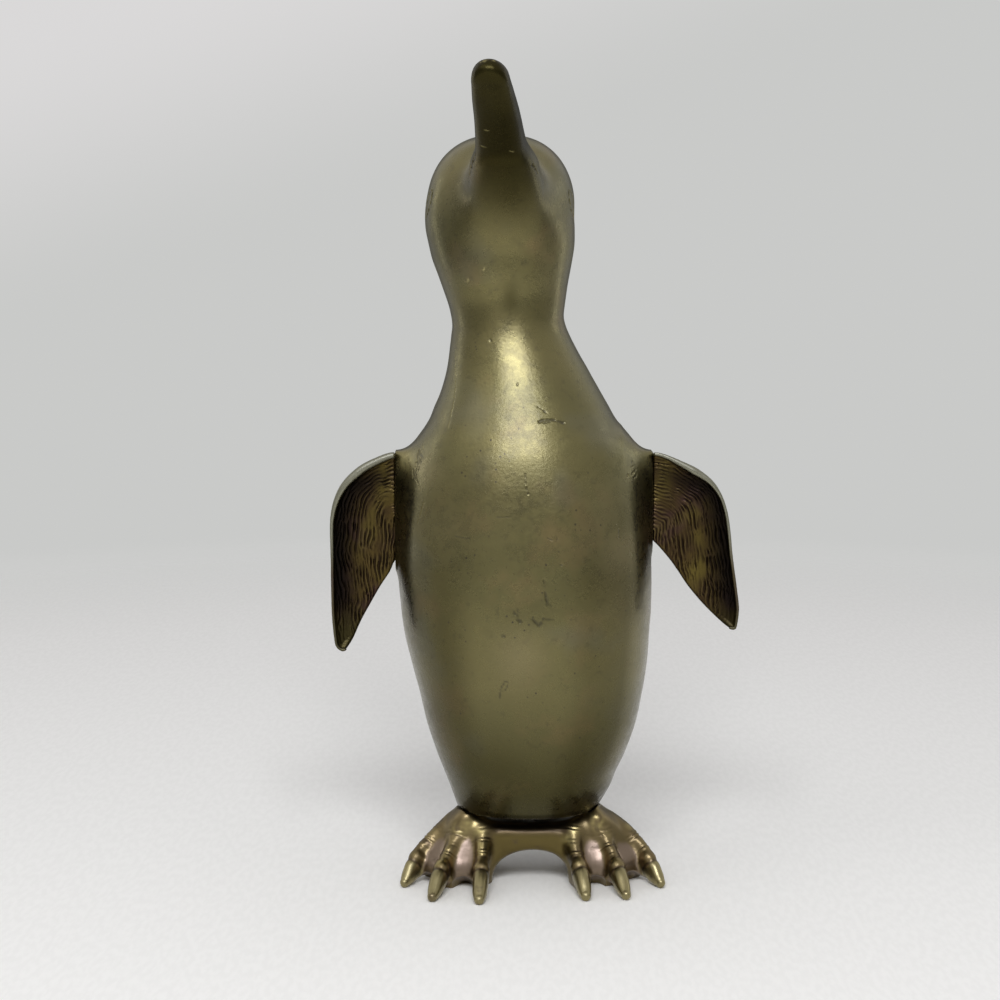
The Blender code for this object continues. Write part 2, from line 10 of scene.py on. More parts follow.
import bmesh
import bpy
import numpy as np
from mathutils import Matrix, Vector


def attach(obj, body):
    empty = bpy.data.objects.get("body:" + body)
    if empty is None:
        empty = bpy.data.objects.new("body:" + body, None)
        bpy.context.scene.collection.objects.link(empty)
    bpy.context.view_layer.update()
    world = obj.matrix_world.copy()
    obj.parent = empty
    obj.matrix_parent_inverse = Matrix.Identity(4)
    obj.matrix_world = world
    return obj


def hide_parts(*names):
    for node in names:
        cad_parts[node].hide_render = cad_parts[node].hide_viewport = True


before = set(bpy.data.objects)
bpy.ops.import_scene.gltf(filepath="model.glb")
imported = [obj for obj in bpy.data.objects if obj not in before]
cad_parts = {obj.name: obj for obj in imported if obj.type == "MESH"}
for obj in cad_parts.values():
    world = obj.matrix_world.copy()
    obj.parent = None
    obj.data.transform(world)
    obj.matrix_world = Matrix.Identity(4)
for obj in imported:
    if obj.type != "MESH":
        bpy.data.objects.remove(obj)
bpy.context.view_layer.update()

MM = 0.001
# Where the figure's own frame lies in the part's frame, in millimetres
FIGURE_PLACE = np.array([-0.552, 7.595, 0.0])

# Camera and picture
CAMERA_PLACE = (-8.9, -564.0, 189.0)
CAMERA_PITCH = 8.0
CAMERA_LENS = 72.0
SENSOR = 36.0

# Body
RIM_HEIGHT = 20.5
BODY_WALL = 3.0
HEAD_CENTRE = 189.0
HEAD_RISE = 23.5
HEAD_POWER = 2.4
DOME_SHIFT = 0.35
# Height, middle sideways and half width of the body
BODY_WIDTHS = (
    (20.5, -0.9, 20.3), (27.4, -0.2, 23.4), (31.9, -0.2, 25.1), (36.4, 0.0, 27.0), (45.3, 0.1, 30.0),
    (54.2, 0.0, 31.9), (63.1, -0.5, 33.7), (71.9, -1.2, 35.0), (80.6, -1.5, 35.8), (92.3, -2.0, 36.1),
    (104.0, -2.2, 35.4), (112.0, -2.3, 34.1), (120.0, -2.4, 31.8), (128.2, -2.4, 28.9),
    (131.0, -2.6, 27.3), (133.9, -2.6, 25.9), (136.7, -2.8, 24.6), (139.6, -3.0, 23.1),
    (142.4, -3.3, 21.8), (145.2, -3.7, 20.6), (148.1, -4.2, 19.5), (150.9, -4.8, 18.5),
    (153.7, -5.4, 17.6), (156.5, -5.9, 16.7), (159.3, -6.3, 15.9), (161.8, -6.7, 15.7),
    (164.9, -6.9, 16.2), (169.1, -7.4, 17.3), (173.3, -7.8, 18.5), (177.5, -8.2, 19.7),
    (181.6, -8.4, 20.5), (185.8, -8.8, 21.0), (189.0, -9.0, 21.05),
)
# Height, middle in depth and half depth of the body
BODY_DEPTHS = (
    (20.5, -0.5, 15.5), (30.0, -0.5, 21.5), (45.3, -0.6, 26.8), (63.0, -1.0, 30.4), (80.0, -1.4, 32.2),
    (95.0, -1.8, 32.0), (110.0, -2.0, 30.2), (122.0, -1.8, 27.6), (131.0, -1.2, 25.0), (142.4, 0.2, 21.0),
    (150.0, 1.1, 18.6), (158.0, 2.3, 17.0), (166.0, 3.2, 16.8), (173.3, 4.0, 18.1), (189.0, 4.8, 19.2),
)

# Beak: middle of each section, half width and half thickness
BEAK = (
    (-7.0, -8.0, 191.6, 10.0, 8.8),
    (-7.3, -14.0, 197.2, 9.0, 7.4),
    (-7.9, -20.0, 202.4, 7.8, 6.2),
    (-8.7, -27.0, 208.5, 6.7, 5.2),
    (-9.6, -34.5, 215.1, 6.0, 4.3),
    (-10.6, -40.4, 220.1, 5.5, 3.6),
    (-11.3, -44.9, 223.9, 4.95, 3.05),
)
BEAK_POWER = 3.0
BEAK_CAP = 1.3
# Throat: height, middle sideways, middle in depth, half width and half depth of each level section
THROAT = (
    (158.0, -7.2, 4.0, 10.0, 9.0),
    (166.0, -7.5, 2.2, 11.8, 11.4),
    (174.0, -7.7, 0.0, 13.0, 12.8),
    (180.0, -7.5, -1.6, 13.9, 12.6),
    (186.0, -7.4, -3.6, 13.3, 12.8),
    (192.0, -7.2, -7.4, 11.6, 12.4),
    (197.5, -7.3, -12.4, 9.9, 11.6),
    (203.0, -7.7, -18.6, 8.3, 9.0),
)
THROAT_CAP = 5.0
THROAT_BLEND = 6.0
BEAK_BLEND = 5.0

# Tail: middle of each section, half width and half thickness
TAIL = (
    (0.0, 16.0, 46.0, 12.5, 11.0),
    (0.0, 25.5, 34.5, 11.5, 6.0),
    (0.0, 30.5, 26.0, 10.0, 3.6),
    (0.0, 33.0, 20.0, 7.0, 1.8),
)
TAIL_BLEND = 5.0

# Shoulders and flippers
STUB_TOP = 124.2
STUB_BLEND = 5.0
STUB_FLARE = (1.15, 0.016)
# The joint planes cut the shoulders off over this reach around this height
JOINT_MIDDLE = 108.0
JOINT_REACH = 22.0
JOINT_GAP = 0.1
SPIGOT_INSET = 0.35
RIGHT_ROOT = -38.6
LEFT_ROOT = 34.4
ROOT_THICKNESS = 4.6
# Drop below the flipper's top and reach beyond its root, down the leading edge to the tip, then back up
RIGHT_OUTLINE = (
    (0.3, -2.0), (0.3, 1.2), (1.8, 5.4), (4.0, 9.7), (7.4, 13.6), (10.8, 16.0), (15.5, 17.7),
    (21.0, 18.4), (30.0, 18.3), (38.0, 18.3), (46.4, 18.2), (54.0, 17.6), (56.3, 17.0), (57.4, 15.7),
    (57.4, 14.7), (56.5, 13.7), (54.0, 12.1), (49.1, 9.9), (44.2, 7.2), (38.9, 4.2), (34.9, 1.6),
    (31.5, 0.0), (31.5, -2.0),
)
LEFT_OUTLINE = (
    (0.3, -2.0), (0.3, 1.2), (1.2, 4.3), (2.9, 8.3), (4.9, 12.4), (8.2, 16.6), (12.3, 19.3), (17.3, 21.0),
    (22.9, 21.9), (30.2, 22.7), (42.5, 24.5), (46.1, 24.7), (50.2, 24.2), (51.1, 23.6), (51.1, 22.6),
    (50.2, 20.9), (47.8, 18.1), (44.1, 14.4), (39.2, 10.3), (35.0, 7.5), (30.7, 4.4), (25.8, 0.0),
    (25.8, -2.0),
)
# Corners of an outline down its leading edge, pieces laid between two corners, and points at the tip
LEAD_CORNERS = 15
OUTLINE_PARTS = 3
LEAD_COUNT = (LEAD_CORNERS - 1) * OUTLINE_PARTS + 1
TIP_COUNT = 9

# Flippers: how far the leading rim stands in front, how far back the plate falls behind it, and its thickness
RIM_FORWARD = 3.4
DISH_DEPTH = 3.2
DISH_LENGTH = 3.6
PLATE_THICKNESS = 2.4
# Share of the leading edge and radius of the rolled rim there
RIGHT_RIM = ((0.0, 0.75), (0.08, 1.0), (0.20, 1.2), (0.30, 1.0), (0.44, 0.55), (0.6, 0.42), (1.0, 0.40))
LEFT_RIM = ((0.0, 0.35), (0.10, 0.6), (0.22, 1.1), (0.30, 0.8), (0.40, 0.45), (1.0, 0.40))
FEATHER_HEIGHT = 0.17

# Toes from ankle to claw tip: place in plan, height of the ridge and half width
RIGHT_TOES = (
    ((-17.0, -4.0, 18.6, 3.0), (-14.6, -7.6, 17.4, 2.6), (-14.0, -11.6, 14.4, 2.1),
     (-14.0, -15.6, 10.8, 1.9), (-14.2, -18.4, 9.2, 2.3), (-14.4, -22.4, 7.0, 2.25),
     (-14.6, -25.8, 4.6, 2.0), (-14.7, -28.0, 2.9, 1.5)),
    ((-19.4, -4.0, 18.4, 2.8), (-20.4, -7.0, 16.4, 2.4), (-22.2, -10.6, 13.2, 2.0),
     (-24.4, -14.6, 10.0, 1.9), (-25.4, -17.0, 8.9, 2.3), (-26.5, -20.6, 6.7, 2.2),
     (-27.3, -23.6, 4.4, 1.9), (-27.8, -25.7, 2.8, 1.4)),
    ((-22.4, -1.5, 17.6, 2.8), (-25.6, -3.0, 15.6, 2.4), (-28.4, -4.6, 13.4, 2.1),
     (-31.2, -6.6, 10.8, 1.9), (-32.6, -8.2, 9.2, 2.2), (-34.2, -10.4, 6.8, 2.05),
     (-35.4, -12.4, 4.4, 1.8), (-36.1, -13.7, 2.8, 1.3)),
)
LEFT_TOES = (
    ((15.6, -4.0, 18.2, 3.0), (13.0, -7.4, 17.0, 2.6), (12.4, -11.2, 14.2, 2.1), (12.8, -14.4, 11.0, 1.9),
     (13.4, -16.8, 9.5, 2.3), (14.3, -20.2, 7.2, 2.2), (14.8, -23.0, 4.8, 1.95), (15.1, -25.0, 3.0, 1.5)),
    ((19.0, -4.0, 18.8, 2.8), (20.0, -6.4, 17.0, 2.4), (21.6, -9.8, 13.6, 2.0), (23.4, -13.6, 10.2, 1.9),
     (24.2, -15.8, 9.2, 2.3), (25.2, -19.2, 6.9, 2.2), (25.9, -22.0, 4.6, 1.9), (26.4, -24.2, 2.9, 1.4)),
    ((22.6, -1.5, 18.0, 2.8), (26.2, -3.0, 16.2, 2.4), (29.2, -4.8, 13.8, 2.1), (32.0, -7.0, 11.0, 1.9),
     (33.4, -8.8, 9.2, 2.2), (35.0, -11.0, 6.8, 2.05), (36.2, -12.9, 4.5, 1.8), (36.9, -14.2, 2.9, 1.3)),
)
# The inner toes lean away from the arch below this height, behind these depths, where the lean fades in
LEAN_TOP = 9.0
LEAN_FADE = (-18.0, -13.0)
# The slope along the inner side of the left foot, from the arch to the claw
INNER_SLOPE = (
    (13.4, 4.0, 4.0, 2.4, 6.0), (13.2, -5.0, 3.4, 2.2, 5.2), (13.6, -12.0, 2.2, 1.9, 4.2),
    (14.3, -18.0, 2.0, 1.5, 3.4), (14.8, -22.0, 1.2, 1.1, 2.2),
)
# The row of a toe's table that is its knuckle
KNUCKLE = 4
# Least and most half height of a toe
TOE_HEIGHTS = (1.2, 3.1)
TOE_POWER = 2.2
TOE_CAP = 1.1
TOE_BLEND = 0.9
# Middles of the scalloped front edges of the webs
RIGHT_WEB_EDGES = ((-19.8, -15.6), (-30.2, -11.2))
LEFT_WEB_EDGES = ((18.7, -14.2), (29.8, -10.2))
WEB_SHOULDER = 0.6
WEB_SAG = 1.1
WEB_LIP = 1.5
WEB_UNDERSIDE = 1.0
WEB_ARCH = 2.7
WEB_REACH = 6.0
WEB_BLEND = 1.6
# Ankles: height, middle sideways, middle in depth, half width and half depth
RIGHT_ANKLE = (
    (-3.0, 21.4, 1.5, 9.2, 10.0), (6.0, 21.2, 0.5, 8.6, 9.6), (12.0, 20.6, -0.6, 7.8, 9.0),
    (17.0, 19.2, -2.2, 5.4, 7.6), (19.8, 18.6, -3.2, 3.4, 6.2), (21.6, 18.4, -3.4, 1.6, 4.0),
)
LEFT_ANKLE = (
    (-3.0, 21.5, 1.5, 9.8, 10.0), (6.0, 21.4, 0.5, 9.6, 9.6), (12.0, 21.4, -0.6, 9.2, 9.0),
    (16.5, 20.0, -2.0, 5.9, 7.6), (19.4, 18.8, -3.2, 3.5, 6.2), (21.2, 18.4, -3.4, 1.6, 4.0),
)
ANKLE_CAP = 1.2
ANKLE_BLEND = 2.0
# Places painted yellow on the ankles and upper toes, rubbed brass with a painted highlight: middle sideways
# and height, reach in both
RUBS_AND_HIGHLIGHTS = (
    (-17.2, 17.5, 2.4, 1.5), (-20.2, 16.0, 2.2, 1.4), (-14.7, 15.6, 1.8, 1.7), (-14.2, 12.0, 1.5, 1.8),
    (18.0, 19.8, 1.8, 1.2), (19.0, 17.5, 2.0, 1.5), (10.8, 13.5, 1.4, 2.0), (11.8, 16.0, 1.8, 1.3),
)
SEAT_GAP = 0.3
BRIDGE_TOP = 17.2
BRIDGE_FRONT = -11.2
BRIDGE_HOLLOW = 1.2
BRIDGE_BACK = 8.5
BRIDGE_HALF_WIDTH = 17.0
BRIDGE_BLEND = 4.2
ARCH_MIDDLE = 0.5
ARCH_HALF_WIDTH = 12.0
ARCH_HEIGHT = 9.6
SCREW_Y = -1.0
CLEAR_RADIUS = 2.3
COUNTERBORE_RADIUS = 4.5
COUNTERBORE_TOP = 14.2
WRINKLE_PITCH = 1.7
WRINKLE_HEIGHT = 0.13

# Marks cut into the body: half width, depth, tone (-1 dark to 1 bright) and the line's corners
MARKS = (
    (0.30, 0.20, -0.8, ((1.5, -22.3, 138.4), (2.4, -22.5, 137.9), (3.5, -22.6, 137.0))),
    (0.32, 0.28, -0.9, ((1.6, -24.3, 134.4), (3.1, -23.7, 135.1), (5.7, -23.0, 134.9), (8.3, -22.5, 134.0))),
    (0.28, 0.20, -0.7, ((3.0, -24.2, 134.2), (4.7, -23.6, 134.6))),
    (0.22, 0.18, -0.8, ((-2.1, -29.6, 121.0), (-2.0, -30.4, 118.1), (-1.3, -30.9, 115.6))),
    (0.28, 0.18, -0.6, ((23.2, -23.2, 106.2), (23.8, -23.0, 104.6), (23.7, -23.4, 102.7))),
    (0.35, 0.16, -0.2, ((3.0, -33.5, 93.0), (3.2, -33.5, 91.0))),
    (0.42, 0.26, -0.7, ((3.3, -33.5, 89.6), (3.5, -33.5, 88.2), (3.9, -33.4, 86.4))),
    (0.45, 0.30, -0.8, ((-5.1, -33.6, 83.8), (-4.2, -33.5, 82.6), (-3.4, -33.5, 81.2))),
    (0.32, 0.22, -0.7, ((-4.1, -33.7, 84.8), (-4.3, -33.6, 82.8))),
    (0.38, 0.26, -0.8, ((0.0, -33.6, 82.5), (0.8, -33.5, 80.9), (1.7, -33.4, 80.3), (3.0, -33.4, 82.0))),
    (0.24, 0.18, -0.6, ((3.0, -33.4, 82.0), (4.2, -33.2, 81.8), (5.6, -32.9, 81.9))),
    (0.45, 0.30, -0.9, ((-8.3, -32.7, 76.9), (-8.0, -32.8, 76.9))),
    (0.30, 0.24, -0.8, ((-6.9, -31.0, 64.0), (-7.6, -30.8, 64.0), (-8.3, -30.6, 62.9), (-8.9, -30.0, 61.0),
                        (-9.0, -29.6, 58.9))),
    (0.26, 0.20, -0.7, ((-6.9, -31.0, 64.0), (-6.8, -30.8, 62.8), (-7.4, -30.5, 61.8), (-8.3, -30.2, 61.1))),
    (0.42, 0.25, -0.9, ((7.7, -32.5, 96.5), (7.8, -32.4, 96.4))),
    (0.30, 0.16, -0.6, ((6.2, -32.1, 104.5), (6.7, -32.0, 103.6))),
    (0.26, 0.14, -0.5, ((4.0, -32.5, 104.0), (5.1, -32.4, 103.4))),
    (0.36, 0.22, 0.6, ((26.6, -15.4, 119.0), (26.8, -15.2, 118.9))),
    (0.34, 0.20, -0.7, ((-11.6, -14.6, 156.2), (-11.6, -14.8, 156.0))),
    (0.32, 0.20, -0.7, ((-4.1, -19.7, 144.4), (-4.1, -19.8, 144.2))),
    (0.24, 0.06, -0.5, ((-21.1, -28.2, 103.8), (-19.4, -29.2, 103.5), (-17.3, -30.1, 103.6))),
    (0.22, 0.10, 0.55, ((-21.0, -8.8, 147.9), (-21.5, -11.7, 143.0), (-21.8, -14.2, 138.1),
                        (-23.1, -16.9, 132.2))),
    (0.22, 0.08, 0.3, ((-21.2, -6.8, 152.6), (-21.0, -8.7, 148.0))),
    (0.30, 0.12, 0.5, ((-21.9, -1.4, 161.5), (-21.5, -2.9, 159.0))),
    (0.20, 0.06, 0.45, ((-13.1, -36.6, 211.9), (-11.8, -36.8, 211.7))),
    (0.24, 0.08, 0.6, ((-6.3, -32.4, 206.6), (-5.5, -32.0, 206.4))),
    (0.20, 0.06, 0.35, ((-13.9, -32.2, 207.9), (-12.6, -32.6, 207.6))),
    (0.40, 0.10, 0.8, ((-13.3, -14.1, 175.2), (-13.1, -14.2, 175.6))),
    (0.50, 0.06, 0.6, ((-17.4, -11.0, 172.2), (-17.2, -11.2, 172.6))),
    (0.24, 0.06, 0.3, ((-33.4, -11.5, 119.5), (-32.0, -14.6, 117.0), (-30.7, -17.6, 114.7))),
    (0.28, 0.12, 0.3, ((-31.5, -19.1, 106.0), (-30.4, -19.6, 109.0), (-29.8, -19.8, 111.7))),
    (0.20, 0.03, -0.5, ((-9.7, -31.6, 109.5), (-5.7, -32.1, 109.6))),
    (0.50, 0.45, -1.0, ((-15.5, -27.2, 205.8), (-16.5, -23.8, 203.2), (-17.1, -20.1, 200.7))),
    (0.22, 0.15, 0.6, ((-15.9, -26.0, 205.3), (-16.1, -25.2, 204.2), (-15.9, -25.6, 203.0))),
    (0.42, 0.45, -1.0, ((-0.3, -25.6, 203.2), (1.1, -22.1, 201.4))),
    # A painted highlight: a bright line along the top of the beak's tip, where its end mirrors the light
    # above
    (0.42, 0.05, 1.0, ((-14.2, -49.0, 228.35), (-10.4, -49.0, 228.35))),
)
# Eyes: middle in depth and height, half length, half width, and lean of an almond on each side of the head
EYE = (-0.7, 193.4, 4.3, 1.9, 0.50)
EYE_POINTS = 17
# Where the eyes' outlines start, beside the head, before they are laid on it
EYE_SIDE = 20.0
# Half width, depth and tone of the groove round an eye
EYE_GROOVE = (0.40, 0.50, -0.9)
# Patches of file marks on the shoulders: middle, reach, lean of the strokes, their number and their seed
FILE_MARKS = (
    ((-32.8, -13.0, 122.6), (3.2, 4.2), -0.85, 26, 31),
    ((29.8, -13.0, 120.6), (2.0, 3.4), 1.2, 9, 32),
)
MARK_REACH = 1.3
# Share of darkening by height on the body: patina, and painted shade towards the bottom rim, where the lower
# body mirrors the feet and the shaded floor
PATINA_AND_SHADE_BY_HEIGHT = (
    (20.0, 0.64), (30.0, 0.58), (40.0, 0.45), (50.0, 0.34), (62.0, 0.10), (72.0, 0.08), (86.0, 0.20),
    (98.0, 0.12), (110.0, 0.12), (122.0, 0.06), (140.0, 0.02), (152.0, 0.06), (165.0, 0.12),
    (175.0, 0.06), (189.0, 0.04),
)
# Share of painted shade by height under the chin
CHIN = (
    (172.0, 0.0), (178.0, 0.10), (184.0, 0.26), (190.0, 0.50), (196.0, 0.72), (200.0, 0.84), (203.0, 0.91),
    (206.0, 0.94),
)
# Middle of the painted shade under the chin, and its half width by height
CHIN_MIDDLE = -7.3
CHIN_WIDTHS = ((174.0, 19.0), (186.0, 16.0), (197.0, 12.0), (204.0, 9.6))
# Stains and painted light on the front: middle sideways and height, reach in both, and share of darkening
# (negative: pale brass)
# The dark spots at heights 24 and 25 are painted reflections of the feet; the dark one at 115.5 dims the
# chest highlight's lower end
STAINS_AND_PAINTED_LIGHT = (
    (-3.6, 71.0, 7.0, 9.0, -0.55), (-3.6, 115.5, 12.0, 6.0, 0.36), (20.0, 108.0, 7.0, 11.0, -0.40),
    (24.5, 86.0, 5.5, 10.0, -0.30), (-23.5, 73.0, 7.0, 22.0, 0.38), (-3.6, 84.0, 10.0, 5.0, 0.14),
    (-25.0, 182.0, 6.0, 12.0, 0.40), (-19.5, 160.0, 5.0, 9.0, 0.26), (-22.0, 203.0, 7.0, 7.0, -0.25),
    (-12.0, 36.0, 10.0, 9.0, 0.22), (13.0, 36.0, 8.0, 9.0, 0.22), (-24.0, 106.0, 8.0, 7.0, -0.25),
    (-19.4, 197.0, 3.5, 5.0, 0.50), (6.2, 189.5, 3.5, 6.0, 0.30), (-30.0, 120.5, 5.0, 5.0, -0.45),
    (19.0, 25.0, 4.0, 4.5, 0.60), (-17.0, 24.0, 4.0, 4.0, 0.35), (23.4, 98.5, 5.5, 8.0, -0.80),
    (-20.5, 190.0, 3.0, 5.0, 0.18), (4.5, 176.0, 4.0, 9.0, -0.25),
)
# Middle of the yellow braze spot on the right shoulder
BRAZE = (-35.4, -8.0, 121.6)
# A painted dark reflection of the camera on the throat: middle sideways and height, reach in both
CAMERA_REFLECTION = (-6.0, 168.0, 2.4, 5.0)
# Where the chest is polished duller: middle sideways and height, reach in both
SATIN = (-3.0, 134.0, 15.0, 12.0)
SATIN_ROUGHNESS = 0.13
SPECK_SIZE = 2.3

# Studio, with sizes in metres
FLOOR_HALF = 1.5
WALL = (0.585, 0.590, 0.580)
FLOOR_FADE = (0.38, 0.66)
DIM = (0.42, 0.42, 0.41)
BEHIND = (0.14, 0.14, 0.13)
GLEAM = (0.70, 0.69, 0.69)
LAMP_TARGET = (0.0, 0.0, 0.12)
# Name, azimuth, elevation, distance, width, height and radiance of each lamp, whether it lights dull
# surfaces and whether metal mirrors it, and its tint
LAMPS = (
    ("key", -2.0, 42.0, 1.0, 0.50, 0.32, 12.0, (True, False)),
    ("mirrored_key", -2.0, 42.0, 0.96, 0.66, 0.385, 6.7, (False, True), (0.97, 1.0, 1.22)),
    ("left", -58.0, 46.0, 1.0, 0.50, 0.50, 0.7),
    ("left_strip", -116.0, 6.0, 0.9, 0.13, 0.60, 1.2, (False, True)),
    ("right_strip", 116.0, 6.0, 0.9, 0.13, 0.60, 1.2, (False, True)),
)

# Meshes: size of a cube of the grid, cubes to the side of a coarse one, the box that is searched,
# the farthest distance that is worked out, and pieces between two points of a path
BODY_STEP = 0.8
FLIPPER_STEP = 0.28
FEET_STEP = 0.36
COARSE = 4
BODY_BOX = ((-44, -52, 16), (40, 42, 236))
FEET_BOX = ((-42, -33, -1), (42, 14, 29))
FAR = 9.0
PATH_PARTS = 16


def soft_min(a, b, blend):
    share = np.clip(0.5 + 0.5 * (b - a) / blend, 0.0, 1.0)
    return b * (1 - share) + a * share - blend * share * (1 - share)


def soft_max(a, b, blend):
    return -soft_min(-a, -b, blend)


def smooth_step(value, low, high):
    share = np.clip((value - low) / (high - low), 0.0, 1.0)
    return share * share * (3 - 2 * share)


def layered(first, second):
    """Two shares laid over each other."""
    return 1 - (1 - first) * (1 - second)


def smooth_table(points, count=400):
    """A smooth curve through points, ordered by their first value, as evenly spaced rows."""
    pts = np.array(points, float)
    slopes = np.empty_like(pts)
    slopes[1:-1] = (pts[2:] - pts[:-2]) / (pts[2:, :1] - pts[:-2, :1])
    slopes[0] = (pts[1] - pts[0]) / (pts[1, 0] - pts[0, 0])
    slopes[-1] = (pts[-1] - pts[-2]) / (pts[-1, 0] - pts[-2, 0])
    places = np.linspace(pts[0, 0], pts[-1, 0], count)
    i = np.clip(np.searchsorted(pts[:, 0], places, side="right") - 1, 0, len(pts) - 2)
    span = (pts[i + 1, 0] - pts[i, 0])[:, None]
    t = ((places - pts[i, 0]) / span[:, 0])[:, None]
    rows = (2 * t**3 - 3 * t**2 + 1) * pts[i] + (3 * t**2 - 2 * t**3) * pts[i + 1]
    rows += span * ((t**3 - 2 * t**2 + t) * slopes[i] + (t**3 - t**2) * slopes[i + 1])
    rows[:, 0] = places
    return rows


def smooth_path(points, parts=PATH_PARTS):
    """The same through points in space, with parts pieces between each two."""
    numbered = [(i, *point) for i, point in enumerate(points)]
    return smooth_table(numbered, parts * (len(points) - 1) + 1)[:, 1:]


def read_rows(rows, places):
    """The columns of a table at each place, read by its first column."""
    rows = np.asarray(rows)
    return [np.interp(places, rows[:, 0], rows[:, k]) for k in range(1, rows.shape[1])]


def way_along(points):
    """The lengths of a line's pieces, and the way along it at each of its points."""
    lengths = np.linalg.norm(np.diff(points, axis=0), axis=1)
    return lengths, np.concatenate([[0.0], np.cumsum(lengths)])


def from_level(level, *offsets):
    """About the distance from a rounded form, from offsets to its middle and its level, 1 on its surface."""
    return np.sqrt(sum(offset * offset for offset in offsets)) * (1 - 1 / level)


def raised(offset, t, skirt):
    """Offsets from a path with the heights below it scaled by its skirt."""
    if skirt:
        z = offset[:, 2]
        offset[:, 2] = np.where(z < 0, z * skirt(t), z)
    return offset


def sweep(p, path, power=2.0, cap=1.0, skirt=None, ripple=None):
    """Distance from a tube of rounded sections along a smooth path, the way along it and the place across.

    Path rows hold the middle, half width and half height. Cap is the length of the ends in half widths, and
    skirt gives the scale of heights below the middle for each way along: near 0, the sides go straight down.
    """
    centres = path[:, :3]
    widest = path[:, 3:].max()
    value = np.full(len(p), FAR)
    along, across_it, over_it = np.zeros(len(p)), np.zeros(len(p)), np.zeros(len(p))
    low, high = centres.min(0) - widest - FAR, centres.max(0) + widest + FAR
    if skirt:
        low[2] = -1e3
    near = np.all((p > low) & (p < high), axis=1)
    q = p[near]
    if not len(q):
        return value, along, across_it, over_it
    _, run = way_along(centres)
    tangents = np.gradient(centres, run, axis=0)
    tangents /= np.linalg.norm(tangents, axis=1)[:, None]
    rows = np.column_stack([run, path, tangents])

    def section(t):
        here = np.column_stack(read_rows(rows, t))
        return here, raised(q - here[:, :3], t, skirt)

    chord = centres[-1] - centres[0]
    t = np.clip((q - centres[0]) @ chord / (chord @ chord), 0.0, 1.0) * run[-1]
    for _ in range(4):
        here, offset = section(t)
        t = np.clip(t + (offset * here[:, 5:]).sum(1), 0.0, run[-1])
    here, offset = section(t)
    wide, high, tangent = here[:, 3], here[:, 4], here[:, 5:]
    across = np.cross(tangent, (0.0, 0.0, 1.0))
    across /= np.linalg.norm(across, axis=1)[:, None]
    over = np.cross(across, tangent)
    u, v = (offset * across).sum(1), (offset * over).sum(1)
    beyond = np.where((t <= 0.0) | (t >= run[-1]), (offset * tangent).sum(1), 0.0)
    plan = np.sqrt((u / wide) ** 2 + (beyond / (wide * cap)) ** 2)
    level = (plan**power + np.abs(v / high) ** power) ** (1 / power) + 1e-6
    found = from_level(level, u, v, beyond)
    if ripple:
        found = found - ripple(t, u / wide, v / high)
    value[near] = np.minimum(found, FAR)
    along[near], across_it[near], over_it[near] = t, u / wide, v / high
    return value, along, across_it, over_it


def piece_distance(u, v, a, b):
    """Squared distance in a plane from a straight piece, and the share of its length at the nearest place."""
    line = b - a
    t = np.clip(((u - a[0]) * line[0] + (v - a[1]) * line[1]) / (line @ line), 0.0, 1.0)
    return (u - a[0] - t * line[0]) ** 2 + (v - a[1] - t * line[1]) ** 2, t


def line_distance(u, v, corners):
    """Distance in a plane from an open line, and the share of its length at the nearest place."""
    lengths, run = way_along(corners)
    best = np.full(len(u), 1e12)
    share = np.zeros(len(u))
    for i, (a, b) in enumerate(zip(corners, corners[1:])):
        d, t = piece_distance(u, v, a, b)
        nearer = d < best
        best = np.where(nearer, d, best)
        share = np.where(nearer, run[i] + t * lengths[i], share)
    return np.sqrt(best), share / run[-1]


def outline_distance(u, v, corners):
    """Signed distance in a plane from a closed outline, negative inside."""
    best = np.full(len(u), 1e12)
    inside = np.zeros(len(u), bool)
    for a, b in zip(corners, np.roll(corners, -1, axis=0)):
        best = np.minimum(best, piece_distance(u, v, a, b)[0])
        if a[1] != b[1]:
            inside ^= ((a[1] > v) != (b[1] > v)) & (u < (b - a)[0] * (v - a[1]) / (b - a)[1] + a[0])
    return np.where(inside, -1.0, 1.0) * np.sqrt(best)


def squared_distance(p, line):
    """Squared distance in space from an open line."""
    best = np.full(len(p), 1e9)
    for a, b in zip(line, line[1:]):
        way = b - a
        t = np.clip(((p - a) @ way) / (way @ way + 1e-9), 0.0, 1.0)
        best = np.minimum(best, ((p - a - t[:, None] * way) ** 2).sum(1))
    return best


def settle(field, points, step, rounds):
    """Moves points onto the surface where the field is zero."""
    h = step * 0.1
    for _ in range(rounds):
        value = field(points)
        slope = np.column_stack([(field(points + h * axis) - value) / h for axis in np.eye(3)])
        shift = slope * (value / np.maximum((slope**2).sum(1), 0.05))[:, None]
        length = np.linalg.norm(shift, axis=1)
        points = points - shift * np.minimum(1.0, 0.6 * step / np.maximum(length, 1e-9))[:, None]
    return points


def grid_values(field, low, high, step):
    """A field at the corners of a grid of cubes, worked out fully only near its surface."""
    def spread(grid):
        return grid.repeat(COARSE, 0).repeat(COARSE, 1).repeat(COARSE, 2)

    count = [int(math.ceil((high[i] - low[i]) / (step * COARSE))) for i in range(3)]
    centres = np.stack(np.meshgrid(*[np.arange(n) for n in count], indexing="ij"), -1).reshape(-1, 3)
    rough = field(low + (centres + 0.5) * step * COARSE - 0.5 * step).reshape(count)
    values = spread(rough).astype(np.float64)
    near = spread(np.abs(rough) < step * COARSE * 1.5)
    values[near] = field(low + np.argwhere(near) * step)
    return values


